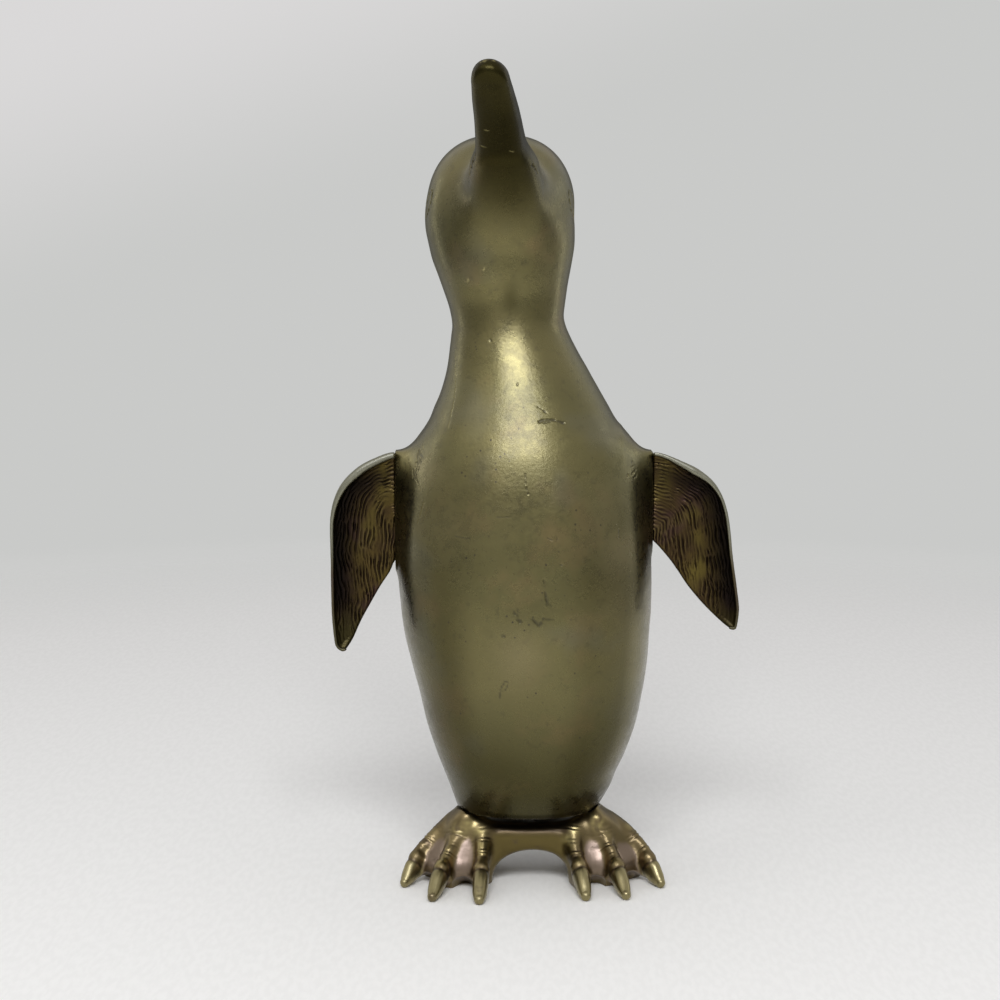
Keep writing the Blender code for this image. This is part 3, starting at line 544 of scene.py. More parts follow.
def crossed_cubes(values, low, step):
    """A point in each cube that the surface crosses, and the points' numbers on the grid."""
    inside = values < 0
    size = np.array(values.shape) - 1
    corners = [np.array((i, j, k)) for i in (0, 1) for j in (0, 1) for k in (0, 1)]
    held = np.zeros(size, np.int8)
    for corner in corners:
        held += inside[tuple(slice(start, start + n) for start, n in zip(corner, size))]
    cells = np.argwhere((held > 0) & (held < 8))
    numbers = np.full(size, -1)
    numbers[tuple(cells.T)] = np.arange(len(cells))
    total, hits = np.zeros((len(cells), 3)), np.zeros(len(cells))
    for a in corners:
        for b in corners:
            if (b - a).sum() != 1 or (b - a).min() < 0:
                continue
            first, second = values[tuple((cells + a).T)], values[tuple((cells + b).T)]
            cut = (first < 0) != (second < 0)
            share = first[cut] / (first[cut] - second[cut])
            total[cut] += a + (b - a) * share[:, None]
            hits[cut] += 1
    return low + (cells + total / hits[:, None]) * step, numbers


def crossed_faces(values, numbers):
    """A four-sided face around each edge of the grid that the surface crosses, turned outward."""
    inside = values < 0
    units = np.eye(3, dtype=int)
    faces = []
    for axis in range(3):
        ahead, one, two = units[axis], units[(axis + 1) % 3], units[(axis + 2) % 3]
        lower = inside[tuple(slice(n - skipped) for n, skipped in zip(inside.shape, ahead))]
        upper = inside[tuple(slice(skipped, None) for skipped in ahead)]
        edges = np.argwhere(lower != upper)
        around = (-one - two, -two, 0 * one, -one)
        quads = np.column_stack([numbers[tuple((edges + shift).T)] for shift in around])
        outward = lower[tuple(edges.T)]
        quads[~outward] = quads[~outward][:, ::-1]
        faces.append(quads)
    return np.concatenate(faces)


def surface_of(field, box, step):
    """Points and four-sided faces on the surface where the field is zero, from a grid of cubes in a box."""
    low = np.array(box[0], float)
    values = grid_values(field, low, box[1], step)
    points, numbers = crossed_cubes(values, low, step)
    faces = crossed_faces(values, numbers)
    sides = np.concatenate([faces[:, [k, (k + 1) % 4]] for k in range(4)])
    for _ in range(2):
        points = settle(field, points, step, 1)
        around, number = np.zeros_like(points), np.zeros(len(points))
        for a, b in ((0, 1), (1, 0)):
            np.add.at(around, sides[:, a], points[sides[:, b]])
            np.add.at(number, sides[:, a], 1)
        points = 0.5 * points + 0.5 * around / number[:, None]
    return settle(field, points, step, 2), faces


def add_object(name, data):
    thing = bpy.data.objects.new(name, data)
    bpy.context.scene.collection.objects.link(thing)
    return thing


def add_piece(name, points, faces, material, stands_for, attributes):
    """A piece on the root body that stands for CAD nodes."""
    mesh = bpy.data.meshes.new(name)
    mesh.from_pydata(((points + FIGURE_PLACE) * MM).tolist(), [], [list(face) for face in faces])
    mesh.update()
    mesh.shade_smooth()
    for key, values in attributes.items():
        layer = mesh.attributes.new(key, "FLOAT", "POINT")
        layer.data.foreach_set("value", np.asarray(values, np.float32))
    mesh.materials.append(material)
    piece = add_object(name, mesh)
    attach(piece, "root")
    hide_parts(*stands_for)


def refine(points, faces, near, cuts):
    """Cuts the edges between marked points into smaller ones."""
    mesh = bmesh.new()
    corners = [mesh.verts.new(point) for point in points]
    for face in faces:
        mesh.faces.new([corners[i] for i in face])
    mesh.verts.index_update()
    marked = [edge for edge in mesh.edges if near[edge.verts[0].index] and near[edge.verts[1].index]]
    bmesh.ops.subdivide_edges(mesh, edges=marked, cuts=cuts, use_grid_fill=True)
    mesh.verts.index_update()
    points = np.array([vert.co[:] for vert in mesh.verts])
    faces = [[vert.index for vert in face.verts] for face in mesh.faces]
    mesh.free()
    return points, faces


def waves(p, seed, scale, count=24):
    """Smooth unevenness between about -1 and 1, with features about as wide as scale."""
    rng = np.random.default_rng(seed)
    total = np.zeros(len(p))
    for _ in range(count):
        way = rng.normal(size=3)
        way *= 2 * math.pi / (scale * rng.uniform(0.7, 1.6) * np.linalg.norm(way))
        total += np.sin(p @ way + rng.uniform(0, 2 * math.pi))
    return total * math.sqrt(2 / count) * 0.6


WIDTHS = smooth_table(BODY_WIDTHS)
DEPTHS = smooth_table(BODY_DEPTHS)
BEAK_PATH = smooth_path(BEAK)
THROAT_ROWS = smooth_table(THROAT)
TAIL_PATH = smooth_path(TAIL)

Flipper = namedtuple("Flipper", "name side root outline rim seed pitch")
FLIPPERS = (
    Flipper("flipper_right", -1, RIGHT_ROOT, smooth_path(RIGHT_OUTLINE, OUTLINE_PARTS), RIGHT_RIM, 11, 1.12),
    Flipper("flipper_left", 1, LEFT_ROOT, smooth_path(LEFT_OUTLINE, OUTLINE_PARTS), LEFT_RIM, 23, 1.0),
)


def body_middle(z):
    """Middle and half size of the body at a height, sideways and in depth."""
    z = np.clip(z, RIM_HEIGHT, HEAD_CENTRE)
    x, a = read_rows(WIDTHS, z)
    y, b = read_rows(DEPTHS, z)
    return x, y, a, b


def trunk(p, inset=0.0):
    """The body, neck and head without beak, tail and shoulders."""
    x, y, a, b = body_middle(p[:, 2])
    dz = np.maximum(p[:, 2] - HEAD_CENTRE, 0.0)
    x = x + DOME_SHIFT * smooth_step(dz, 0.0, 9.0)
    dx, dy = p[:, 0] - x, p[:, 1] - y
    level = np.sqrt((dx / (a - inset)) ** 2 + (dy / (b - inset)) ** 2)
    level = (level**HEAD_POWER + (dz / (HEAD_RISE - inset)) ** HEAD_POWER) ** (1 / HEAD_POWER) + 1e-6
    return from_level(level, dx, dy, dz)


def unevenness(p):
    """How far hand finishing left the body off its smooth form."""
    return 0.05 * waves(p * (1.0, 1.0, 0.6), 5, 15.0, 14) + 0.012 * waves(p, 6, 5.0, 14)


def oval_stack(p, rows, cap, side=1):
    """A stack of level ovals with rounded ends, mirrored where side is -1."""
    z = np.clip(p[:, 2], rows[0, 0], rows[-1, 0])
    x, y, a, b = read_rows(rows, z)
    dx, dy, dz = p[:, 0] - side * x, p[:, 1] - y, p[:, 2] - z
    level = np.sqrt((dx / a) ** 2 + (dy / b) ** 2 + (dz / cap) ** 2) + 1e-6
    return from_level(level, dx, dy, dz)


def stub(p, flipper):
    """The short shoulder that carries a flipper, not yet cut off at the joint plane."""
    z = p[:, 2]
    out = flipper.side * (p[:, 0] - flipper.root)
    bottom = STUB_TOP - flipper.outline[-1, 0]
    spread = np.clip(-out, 0.0, 25.0)
    thick = ROOT_THICKNESS / 2 + STUB_FLARE[0] * spread - STUB_FLARE[1] * spread**2
    rise = (0.055 + 0.012 * flipper.side) * np.minimum(spread, 9.0) ** 2
    half = (STUB_TOP + rise - bottom) / 2
    dy, dz = p[:, 1] - body_middle(z)[1], z - bottom - half
    power = 2.4 + 5.6 * np.exp(-spread / 3.0)
    level = (np.abs(dz / half) ** power + np.abs(dy / thick) ** power) ** (1 / power) + 1e-6
    return np.hypot(dy, dz) * (1 - 1 / level) * 0.8 + 0.02 * np.maximum(-out - 6.0, 0.0) ** 2


def body_field(p):
    """The hollow body casting, with its beak, tail and shoulders."""
    beak = sweep(p, BEAK_PATH, BEAK_POWER, BEAK_CAP)[0]
    beak = soft_min(beak, oval_stack(p, THROAT_ROWS, THROAT_CAP) * 0.85, BEAK_BLEND)
    outer = soft_min(trunk(p) + unevenness(p), beak, THROAT_BLEND)
    outer = soft_min(outer, sweep(p, TAIL_PATH)[0], TAIL_BLEND)
    beside = np.abs(p[:, 2] - JOINT_MIDDLE) < JOINT_REACH
    for flipper in FLIPPERS:
        outer = soft_min(outer, stub(p, flipper), STUB_BLEND)
        outer = np.maximum(outer, np.where(beside, flipper.side * (p[:, 0] - flipper.root), -FAR))
    outer = np.maximum(outer, RIM_HEIGHT - p[:, 2])
    return np.maximum(outer, -trunk(p, BODY_WALL))


def eye_line(side):
    """The almond cut round an eye, before it is laid on the head."""
    y, z, length, width, lean = EYE
    turns = np.linspace(0, 2 * math.pi, EYE_POINTS)
    u = length * np.cos(turns)
    v = width * np.sin(turns) * (0.55 + 0.45 * np.abs(np.sin(turns)))
    x = np.full(EYE_POINTS, BODY_WIDTHS[-1][1] + side * EYE_SIDE)
    y = y - u * math.sin(lean) + v * math.cos(lean)
    z = z + u * math.cos(lean) + v * math.sin(lean)
    return np.column_stack([x, y, z])


def all_marks():
    """Half width, depth, tone and line of each mark, with the lines laid on the body."""
    marks = [(wide, deep, tone, np.array(line)) for wide, deep, tone, line in MARKS]
    for side in (-1, 1):
        marks.append((*EYE_GROOVE, eye_line(side)))
    for middle, reach, lean, count, seed in FILE_MARKS:
        rng = np.random.default_rng(seed)
        for _ in range(count):
            way = lean + rng.normal(0, 0.18)
            along = np.array((math.sin(way), 0.0, math.cos(way))) * rng.uniform(0.8, 2.4)
            centre = np.array(middle) + (rng.uniform(-1, 1) * reach[0], 0.0, rng.uniform(-1, 1) * reach[1])
            line = np.array([centre - along, centre, centre + along])
            marks.append((rng.uniform(0.18, 0.28), rng.uniform(0.10, 0.20), rng.uniform(-0.9, 0.9), line))
    return [(wide, deep, tone, settle(body_field, line, 3.0, 6)) for wide, deep, tone, line in marks]


def mark_depth(p, marks):
    """How deep the marks cut at each point, and their tone there."""
    deepest, tones = np.zeros(len(p)), np.zeros(len(p))
    rough = np.clip(0.75 + 0.5 * waves(p, 9, 1.3, 12), 0.2, 1.2)
    for wide, deep, tone, line in marks:
        low, high = line.min(0) - 4 * wide, line.max(0) + 4 * wide
        near = np.flatnonzero(np.all((p > low) & (p < high), axis=1))
        if not len(near):
            continue
        share = np.exp(-squared_distance(p[near], line) / (wide * rough[near]) ** 2)
        deepest[near] = np.maximum(deepest[near], deep * share)
        tones[near] = np.where(share > np.abs(tones[near]), tone * share, tones[near])
    return deepest, tones


def near_marks(p, marks):
    near = np.zeros(len(p), bool)
    for *_, line in marks:
        near |= squared_distance(p, line) < MARK_REACH**2
    return near


def feathers(p, across, seed, pitch):
    """Broken lengthwise strokes, between about -1 in the grooves and 1 on the ridges."""
    q = p * (1.0, 0.0, 0.55)
    bent = across + 0.75 * waves(q, seed, 9.0) + 0.24 * waves(q, seed + 1, 3.0)
    line = np.sin(2 * math.pi * bent / pitch)
    bent = across + 0.65 * waves(q, seed + 3, 6.0) + 0.20 * waves(q, seed + 4, 2.0)
    fine = np.sin(2 * math.pi * bent / (0.66 * pitch))
    strength = np.clip(0.66 + 0.7 * waves(q, seed + 2, 3.2), 0.1, 1.2)
    weak = np.clip(0.35 + 0.7 * waves(q, seed + 5, 3.0), 0.0, 0.9)
    return np.sign(line) * np.abs(line) ** 0.8 * strength + fine * weak


def flipper_parts(p, flipper):
    """What a flipper's form and colours share.

    The drop below its top and reach beyond its root, how far inside the outline and from the leading edge a
    point lies, the rim's radius, the depth of the dish and the relief of the feathers.
    """
    drop = STUB_TOP - p[:, 2]
    out = flipper.side * (p[:, 0] - flipper.root)
    inside = -outline_distance(drop, out, flipper.outline)
    edge, share = line_distance(drop, out, flipper.outline[:LEAD_COUNT])
    radius = read_rows(flipper.rim, share)[0]
    behind = np.maximum(edge - 1.7 * radius, 0.0)
    dish = DISH_DEPTH * (1 - np.exp(-behind / DISH_LENGTH)) * (1 - 0.45 * (1 - smooth_step(out, 0.5, 7.0)))
    tip_line = flipper.outline[LEAD_COUNT - TIP_COUNT:LEAD_COUNT]
    tip = smooth_step(line_distance(drop, out, tip_line)[0], 1.5, 7.0)
    mask = smooth_step(behind, 0.1, 1.2) * smooth_step(inside, 0.2, 1.4) * (0.12 + 0.88 * tip)
    lines = feathers(p, edge, flipper.seed, flipper.pitch) * mask
    return drop, out, inside, edge, radius, dish, lines


def flipper_field(p, flipper):
    """A dished plate with a rolled leading rim, and the thinner spigot that goes into the shoulder."""
    drop, out, inside, edge, radius, dish, lines = flipper_parts(p, flipper)
    y = p[:, 1]
    rim_y = body_middle(p[:, 2])[1] - RIM_FORWARD
    front = rim_y + dish - FEATHER_HEIGHT * lines
    taper = 1.0 - 0.25 * drop / 57.0
    back = rim_y + np.maximum(dish, 0.0) + PLATE_THICKNESS * taper + 0.08 * lines
    plate = soft_max(soft_max(front - y, y - back, 0.5), 0.15 - inside, 1.1)
    tube_y = rim_y + 0.2 * radius
    tube = np.sqrt((edge - radius) ** 2 + (y - tube_y) ** 2) - radius
    tube = np.maximum(tube, -inside - 0.02)
    blade = soft_min(plate, tube, 0.35)
    spigot = np.maximum(blade + SPIGOT_INSET, -out - JOINT_GAP)
    return np.minimum(np.maximum(blade, JOINT_GAP - out), spigot)


def flipper_attributes(p, flipper):
    """Where a flipper is rubbed, shaded, grooved and stained."""
    drop, out, _, edge, radius, dish, lines = flipper_parts(p, flipper)
    middle = body_middle(p[:, 2])[1]
    front = smooth_step(middle - RIM_FORWARD + dish + 0.9 - p[:, 1], 0.0, 0.5)
    rim = 1 - smooth_step(edge - 1.8 * radius, -0.15, 0.25)
    tip = smooth_step(drop, 42.0, 52.0)
    beyond = np.maximum(edge - 1.8 * radius, 0)
    shade = np.exp(-(beyond / 6.2) ** 2.6) * (1 - 0.8 * tip) * smooth_step(drop, 1.0, 10.0) * front
    patchy = np.clip(waves(p, 41, 9.0) * 1.2, 0, 1)
    glow = np.exp(-((drop - 7.0) / 5.0) ** 2 - ((out - 3.2) / 2.2) ** 2)
    glow = glow + 0.6 * patchy * smooth_step(beyond, 5.0, 8.0)
    fade = 1 - 0.8 * smooth_step(drop, 22.0, 36.0)
    return {
        # The pale rim is partly worn metal and partly a painted sheen, brightest towards the top
        "rim": rim * fade,
        "shade": 0.97 * shade * (1 - rim),
        "groove": np.clip(-lines * 1.1, 0, 0.85) * (1 - rim),
        "crest": np.clip(lines * 0.9 - 0.25, 0, 0.6) * (1 - rim) * (1 - 0.9 * shade),
        "glow": 0.5 * np.clip(glow, 0, 1) * front * (1 - shade),
        "olive": np.clip(tip + (1 - front), 0, 1) * 0.8,
    }


def toe_skirt(knuckle):
    """The walls below a toe end at its knuckle, and the claw is a free cone."""
    return lambda t: 0.04 + 0.96 * smooth_step(t, knuckle - 1.8, knuckle + 0.4)


def toe_ripple(seed, knuckle):
    """Wrinkles across the toe behind its knuckle, a dome at the knuckle and a plain claw."""
    def ripple(t, u, v):
        on_top = smooth_step(v, -0.2, 0.5)
        before = 1 - smooth_step(t, knuckle - 3.2, knuckle - 2.0)
        phase = t / WRINKLE_PITCH + 0.35 * np.sin(t * 1.7 + seed) + 0.4 * np.abs(u)
        strength = 0.7 + 0.5 * np.sin(t * 1.1 + 2.3 * seed)
        wrinkle = WRINKLE_HEIGHT * np.sin(2 * math.pi * phase) * before * smooth_step(t, 2.0, 5.0) * strength
        dome = 0.22 * np.exp(-((t - knuckle + 0.2) / 1.2) ** 2)
        crease = -0.2 * np.exp(-((t - knuckle - 1.5) / 0.7) ** 2)
        return (wrinkle + dome + crease) * on_top
    return ripple


Toe = namedtuple("Toe", "path run knuckle skirt ripple")


def make_toe(points, seed):
    """A toe's path, the way along it, the way to its knuckle, its skirt and its ripple."""
    rows = []
    for x, y, top, half in points:
        high = min(max(top / 2, TOE_HEIGHTS[0]), TOE_HEIGHTS[1])
        rows.append((x, y, top - high, half, high))
    path = smooth_path(rows)
    lengths, run = way_along(path[:, :3])
    knuckle = lengths[:PATH_PARTS * KNUCKLE].sum()
    return Toe(path, run, knuckle, toe_skirt(knuckle), toe_ripple(seed, knuckle))


def bezier_edge(a, middle, b, count=9):
    t = np.linspace(0, 1, count)[:, None]
    control = 2 * np.array(middle) - 0.5 * (np.array(a) + np.array(b))
    return (1 - t) ** 2 * np.array(a) + 2 * t * (1 - t) * control + t**2 * np.array(b)


def web_field(p, first, second, run_share, edge_middle):
    """The sagging skin between two toes, down to its underside."""
    count = int(len(first) * run_share)
    a, b = first[:count], second[:count]
    front = bezier_edge(a[-1, :2], edge_middle, b[-1, :2])
    ring = np.concatenate([a[:-2:4, :2], front, b[-3::-4, :2]])
    plan = outline_distance(p[:, 0], p[:, 1], ring)
    value = np.full(len(p), WEB_REACH)
    near = plan < WEB_REACH
    q, plan = p[near], plan[near]
    x, y, z = q.T
    da, sa = line_distance(x, y, a[::2, :2])
    db, sb = line_distance(x, y, b[::2, :2])
    shares = np.linspace(0, 1, count)
    ha, hb = np.interp(sa, shares, a[:, 2] + a[:, 4]), np.interp(sb, shares, b[:, 2] + b[:, 4])
    f = da / (da + db + 1e-6)
    bow = np.sin(math.pi * np.clip(f, 0, 1))
    ease = smooth_step(np.minimum(sa, sb), 0.05, 0.4)
    beside = smooth_step(np.minimum(da, db), 0.6, 2.2)
    sag = (WEB_SHOULDER * beside + WEB_SAG * bow) * ease
    near_edge, _ = line_distance(x, y, front)
    top = ha + (hb - ha) * f - sag - WEB_LIP * np.exp(-near_edge / 2.2)
    top = np.maximum(top, 3.2)
    solid = soft_max(plan, (z - top) * 0.8, 2.0)
    below = WEB_UNDERSIDE + WEB_ARCH * bow * np.exp(-((near_edge / 3.0) ** 2))
    value[near] = soft_max(solid, below - z, 0.6)
    return value


ANKLE_ROWS = {-1: smooth_table(RIGHT_ANKLE), 1: smooth_table(LEFT_ANKLE)}
TOES = {
    side: [make_toe(points, k + 3 * side) for k, points in enumerate(toes)]
    for side, toes in ((-1, RIGHT_TOES), (1, LEFT_TOES))
}
WEB_EDGES = {-1: RIGHT_WEB_EDGES, 1: LEFT_WEB_EDGES}
SLOPE_PATH = smooth_path(INNER_SLOPE)


def toes_field(p, side):
    """A foot's toes. Below, the inner one leans away from the arch, and on the left foot a slope joins it."""
    best = sweep(p, SLOPE_PATH)[0] if side > 0 else np.full(len(p), FAR)
    low = smooth_step(LEAN_TOP - p[:, 2], 0.0, 6.0) * smooth_step(p[:, 1], *LEAN_FADE)
    forward = np.clip(-p[:, 1] / 10.0, 0.0, 1.2)
    leaning = p.copy()
    leaning[:, 0] -= low * (0.4 + 1.4 * forward if side > 0 else -1.0)
    for k, toe in enumerate(TOES[side]):
        q = leaning if k == 0 else p
        value = sweep(q, toe.path, TOE_POWER, TOE_CAP, toe.skirt, toe.ripple)[0]
        best = soft_min(best, value, TOE_BLEND)
    return best


def webs_field(p, side):
    best = np.full(len(p), WEB_REACH)
    paths = [toe.path for toe in TOES[side]]
    share = KNUCKLE / (len(RIGHT_TOES[0]) - 1)
    for first, second, edge in zip(paths, paths[1:], WEB_EDGES[side]):
        best = np.minimum(best, web_field(p, first, second, share, edge))
    return best


def bridge_field(p):
    """The arched bridge between the feet."""
    x, y, z = p.T
    front = BRIDGE_FRONT + BRIDGE_HOLLOW * (x / ARCH_HALF_WIDTH) ** 2
    block = soft_max(soft_max(front - y, y - BRIDGE_BACK, 1.0), z - BRIDGE_TOP, 4.5)
    block = np.maximum(block, np.abs(x) - BRIDGE_HALF_WIDTH)
    dx = x - ARCH_MIDDLE
    level = np.sqrt((dx / ARCH_HALF_WIDTH) ** 2 + (z / ARCH_HEIGHT) ** 2) + 1e-6
    return soft_max(block, -from_level(level, dx, z), 2.6)


def feet_field(p):
    """Both feet and their bridge, seated under the body and bored for the screw."""
    value = bridge_field(p)
    for side in (-1, 1):
        ankle = oval_stack(p, ANKLE_ROWS[side], ANKLE_CAP, side) * 0.8
        foot = soft_min(ankle, toes_field(p, side), ANKLE_BLEND)
        foot = soft_min(foot, webs_field(p, side), WEB_BLEND)
        value = soft_min(value, foot, BRIDGE_BLEND)
    body = np.maximum(trunk(p) - SEAT_GAP, RIM_HEIGHT - SEAT_GAP - p[:, 2])
    value = np.maximum(value, -body)
    r = np.hypot(p[:, 0], p[:, 1] - SCREW_Y)
    value = np.maximum(value, CLEAR_RADIUS - r)
    value = np.maximum(value, -np.maximum(r - COUNTERBORE_RADIUS, p[:, 2] - COUNTERBORE_TOP))
    return np.maximum(value, -p[:, 2])


def add_node(tree, kind, values=None, **settings):
    """A shader node of a kind, with values or links for its inputs."""
    node = tree.nodes.new("ShaderNode" + kind)
    for key, value in settings.items():
        setattr(node, key, value)
    for key, value in (values or {}).items():
        if isinstance(value, bpy.types.NodeSocket):
            tree.links.new(value, node.inputs[key])
        else:
            node.inputs[key].default_value = value
    return node


def mix(tree, share, first, second):
    """A colour between two, each a colour or a socket."""
    node = add_node(tree, "Mix", data_type="RGBA")
    for index, value in ((0, share), (6, first), (7, second)):
        if isinstance(value, bpy.types.NodeSocket):
            tree.links.new(value, node.inputs[index])
        else:
            node.inputs[index].default_value = (*value, 1.0)
    return node.outputs[2]


def place_in(tree, stretch=(1.0, 1.0, 1.0)):
    where = add_node(tree, "TexCoord").outputs["Object"]
    return add_node(tree, "Mapping", {"Vector": where, "Scale": stretch}).outputs["Vector"]


def noise(tree, size, detail=2.0, stretch=(1.0, 1.0, 1.0), rough=0.5):
    """Noise with features about as wide as size, in millimetres."""
    values = {
        "Vector": place_in(tree, stretch), "Scale": 0.6 / (size * MM), "Detail": detail, "Roughness": rough,
    }
    return add_node(tree, "TexNoise", values).outputs["Fac"]


def remap(tree, value, low, high, to_low=0.0, to_high=1.0):
    values = {"Value": value, "From Min": low, "From Max": high, "To Min": to_low, "To Max": to_high}
    node = add_node(tree, "MapRange", values, interpolation_type="SMOOTHSTEP")
    return node.outputs["Result"]


def multiply(tree, first, second):
    return add_node(tree, "Math", {0: first, 1: second}, operation="MULTIPLY").outputs[0]


def attribute(tree, name):
    return add_node(tree, "Attribute", attribute_name=name).outputs["Fac"]


def bump(tree, height, distance, strength, normal=None):
    """Bump of a height whose full range stands for a distance, in millimetres."""
    values = {"Height": height, "Distance": distance * MM, "Strength": strength}
    if normal is not None:
        values["Normal"] = normal
    return add_node(tree, "Bump", values).outputs["Normal"]


def new_metal(name, coat):
    """A metal's material, node tree and shader."""
    material = bpy.data.materials.new(name)
    material.use_nodes = True
    tree = material.node_tree
    shader = tree.nodes["Principled BSDF"]
    shader.inputs["Metallic"].default_value = 1.0
    shader.inputs["Coat Weight"].default_value = coat
    shader.inputs["Coat Roughness"].default_value = 0.3
    return material, tree, shader


def feed(tree, shader, values):
    for key, value in values.items():
        tree.links.new(value, shader.inputs[key])


def patches(tree, first, second, size, detail, low, high, most=1.0):
    """Patches of a second colour, about as wide as size, where noise rises from low to high."""
    return mix(tree, remap(tree, noise(tree, size, detail), low, high, 0.0, most), first, second)


def tinted(tree, colour, *tints):
    """A colour with others laid over it where the mesh's attributes of their names say so."""
    for name, tint in tints:
        colour = mix(tree, attribute(tree, name), colour, tint)
    return colour


def body_brass():
    """Aged olive brass with patina and painted shade, dirt in the marks, a painted highlight on the beak's
    tip and a thin dull coat.
    """
    material, tree, shader = new_metal("aged_brass_body", 0.5)
    colour = patches(tree, (0.148, 0.130, 0.040), (0.172, 0.146, 0.046), 20.0, 3.0, 0.38, 0.62)
    colour = patches(tree, colour, (0.192, 0.147, 0.050), 9.0, 3.0, 0.52, 0.72)
    colour = patches(tree, colour, (0.148, 0.138, 0.078), 14.0, 2.0, 0.56, 0.74, 0.5)
    colour = patches(tree, colour, (0.08, 0.068, 0.022), 1.6, 3.0, 0.56, 0.76, 0.4)
    # The patina colour also paints shade: under the beak and chin, along the bottom rim, on the lower flanks,
    # beside the flippers and towards the bottom
    colour = tinted(tree, colour, ("pale", (0.275, 0.230, 0.105)), ("patina", (0.021, 0.017, 0.0035)))
    cells = {"Vector": place_in(tree), "Scale": 1.0 / (SPECK_SIZE * MM)}
    cells = add_node(tree, "TexVoronoi", cells).outputs["Distance"]
    specks = multiply(tree, remap(tree, cells, 0.17, 0.07), remap(tree, noise(tree, 8.0, 2.0), 0.52, 0.62))
    colour = mix(tree, multiply(tree, specks, attribute(tree, "age")), colour, (0.05, 0.04, 0.018))
    colour = tinted(tree, colour, ("bright", (0.46, 0.40, 0.17)), ("dirt", (0.022, 0.018, 0.009)))
    rough = remap(tree, noise(tree, 2.0, 5.0, rough=0.7), 0.3, 0.7, 0.22, 0.38)
    satin = multiply(tree, attribute(tree, "satin"), SATIN_ROUGHNESS)
    rough = add_node(tree, "Math", {0: rough, 1: satin}, operation="ADD").outputs[0]
    normal = bump(tree, noise(tree, 0.55, 4.0, rough=0.6), 0.055, 0.9)
    normal = bump(tree, noise(tree, 2.2, 2.0), 0.05, 0.35, normal)
    normal = bump(tree, noise(tree, 0.5, 2.0, (1.0, 1.0, 0.12)), 0.015, 0.3, normal)
    coat = remap(tree, attribute(tree, "patina"), 0.0, 1.0, 0.5, 0.04)
    shader.inputs["Coat IOR"].default_value = 1.65
    feed(tree, shader, {"Base Color": colour, "Roughness": rough, "Normal": normal})
    feed(tree, shader, {"Coat Weight": coat, "Coat Normal": normal})
    return material


def cast_brass(name, coat, first, second, size, rough, grain):
    """Brass as it came from the sand, patchy between two colours: its material, tree, shader and colour."""
    material, tree, shader = new_metal(name, coat)
    rough_size, rough_low, rough_high = rough
    roughness = remap(tree, noise(tree, rough_size, 2.0), 0.3, 0.7, rough_low, rough_high)
    feed(tree, shader, {"Roughness": roughness, "Normal": bump(tree, noise(tree, grain, 3.0), 0.06, 0.5)})
    return material, tree, shader, patches(tree, first, second, size, 3.0, 0.4, 0.6)


def flipper_brass():
    """Dark brass with near-black grooves between rubbed feather lines, and a rim that is pale grey, partly
    worn metal and partly a painted sheen.
    """
    material, tree, shader, colour = cast_brass(
        "dark_brass_flipper", 0.05, (0.060, 0.038, 0.016), (0.085, 0.058, 0.018), 5.0, (3.0, 0.32, 0.48), 0.8
    )
    colour = patches(tree, colour, (0.062, 0.034, 0.026), 7.0, 2.0, 0.50, 0.66)
    colour = tinted(
        tree, colour, ("olive", (0.052, 0.046, 0.015)), ("glow", (0.22, 0.18, 0.035)),
        ("groove", (0.016, 0.009, 0.006)), ("crest", (0.145, 0.105, 0.040)),
        ("shade", (0.005, 0.0035, 0.003)), ("rim", (0.235, 0.230, 0.170)),
    )
    feed(tree, shader, {"Base Color": colour})
    return material


def feet_brass():
    """Rubbed yellow brass with painted highlights on its tops, mauve webs, brown dirt and painted shade on
    the bridge's top.
    """
    material, tree, shader, colour = cast_brass(
        "rubbed_brass_feet", 0.25, (0.150, 0.112, 0.048), (0.200, 0.150, 0.066), 6.0, (4.0, 0.28, 0.42), 0.9
    )
    colour = tinted(
        tree, colour, ("bridge", (0.128, 0.096, 0.028)), ("web", (0.225, 0.168, 0.125)),
        ("wear", (0.48, 0.40, 0.16)), ("claw", (0.30, 0.26, 0.125)), ("groove", (0.055, 0.036, 0.022)),
    )
    colour = patches(tree, colour, (0.085, 0.060, 0.034), 2.0, 2.0, 0.58, 0.76, 0.6)
    feed(tree, shader, {"Base Color": colour})
    return material


def turned_metal(name, first, second, low, high):
    """Metal of a hidden fastener or bar, with fine turning or saw marks."""
    material, tree, shader = new_metal(name, 0.0)
    colour = patches(tree, first, second, 3.0, 3.0, 0.4, 0.6)
    rough = remap(tree, noise(tree, 1.5, 2.0), 0.3, 0.7, low, high)
    normal = bump(tree, noise(tree, 0.35, 2.0, (0.1, 1.0, 1.0)), 0.03, 0.4)
    feed(tree, shader, {"Base Color": colour, "Roughness": rough, "Normal": normal})
    return material


def finish_fasteners():
    """The hidden strap, screw and washer keep their CAD shapes under these metals."""
    steel = ((0.42, 0.42, 0.41), (0.34, 0.33, 0.31), 0.22, 0.36)
    metals = {
        "cross_strap": ("sawn_brass_strap", (0.40, 0.31, 0.14), (0.33, 0.26, 0.12), 0.30, 0.45),
        "clamp_screw": ("turned_steel_screw", *steel),
        "screw_washer": ("turned_steel_washer", *steel),
    }
    for name, looks in metals.items():
        slots = bpy.data.objects[name].data.materials
        slots.clear()
        slots.append(turned_metal(*looks))


def front_spot(p, x, z, reach_x, reach_z):
    """A soft spot on the front, 1 in its middle."""
    return np.exp(-((p[:, 0] - x) / reach_x) ** 2 - ((p[:, 2] - z) / reach_z) ** 2) * (p[:, 1] < 0)


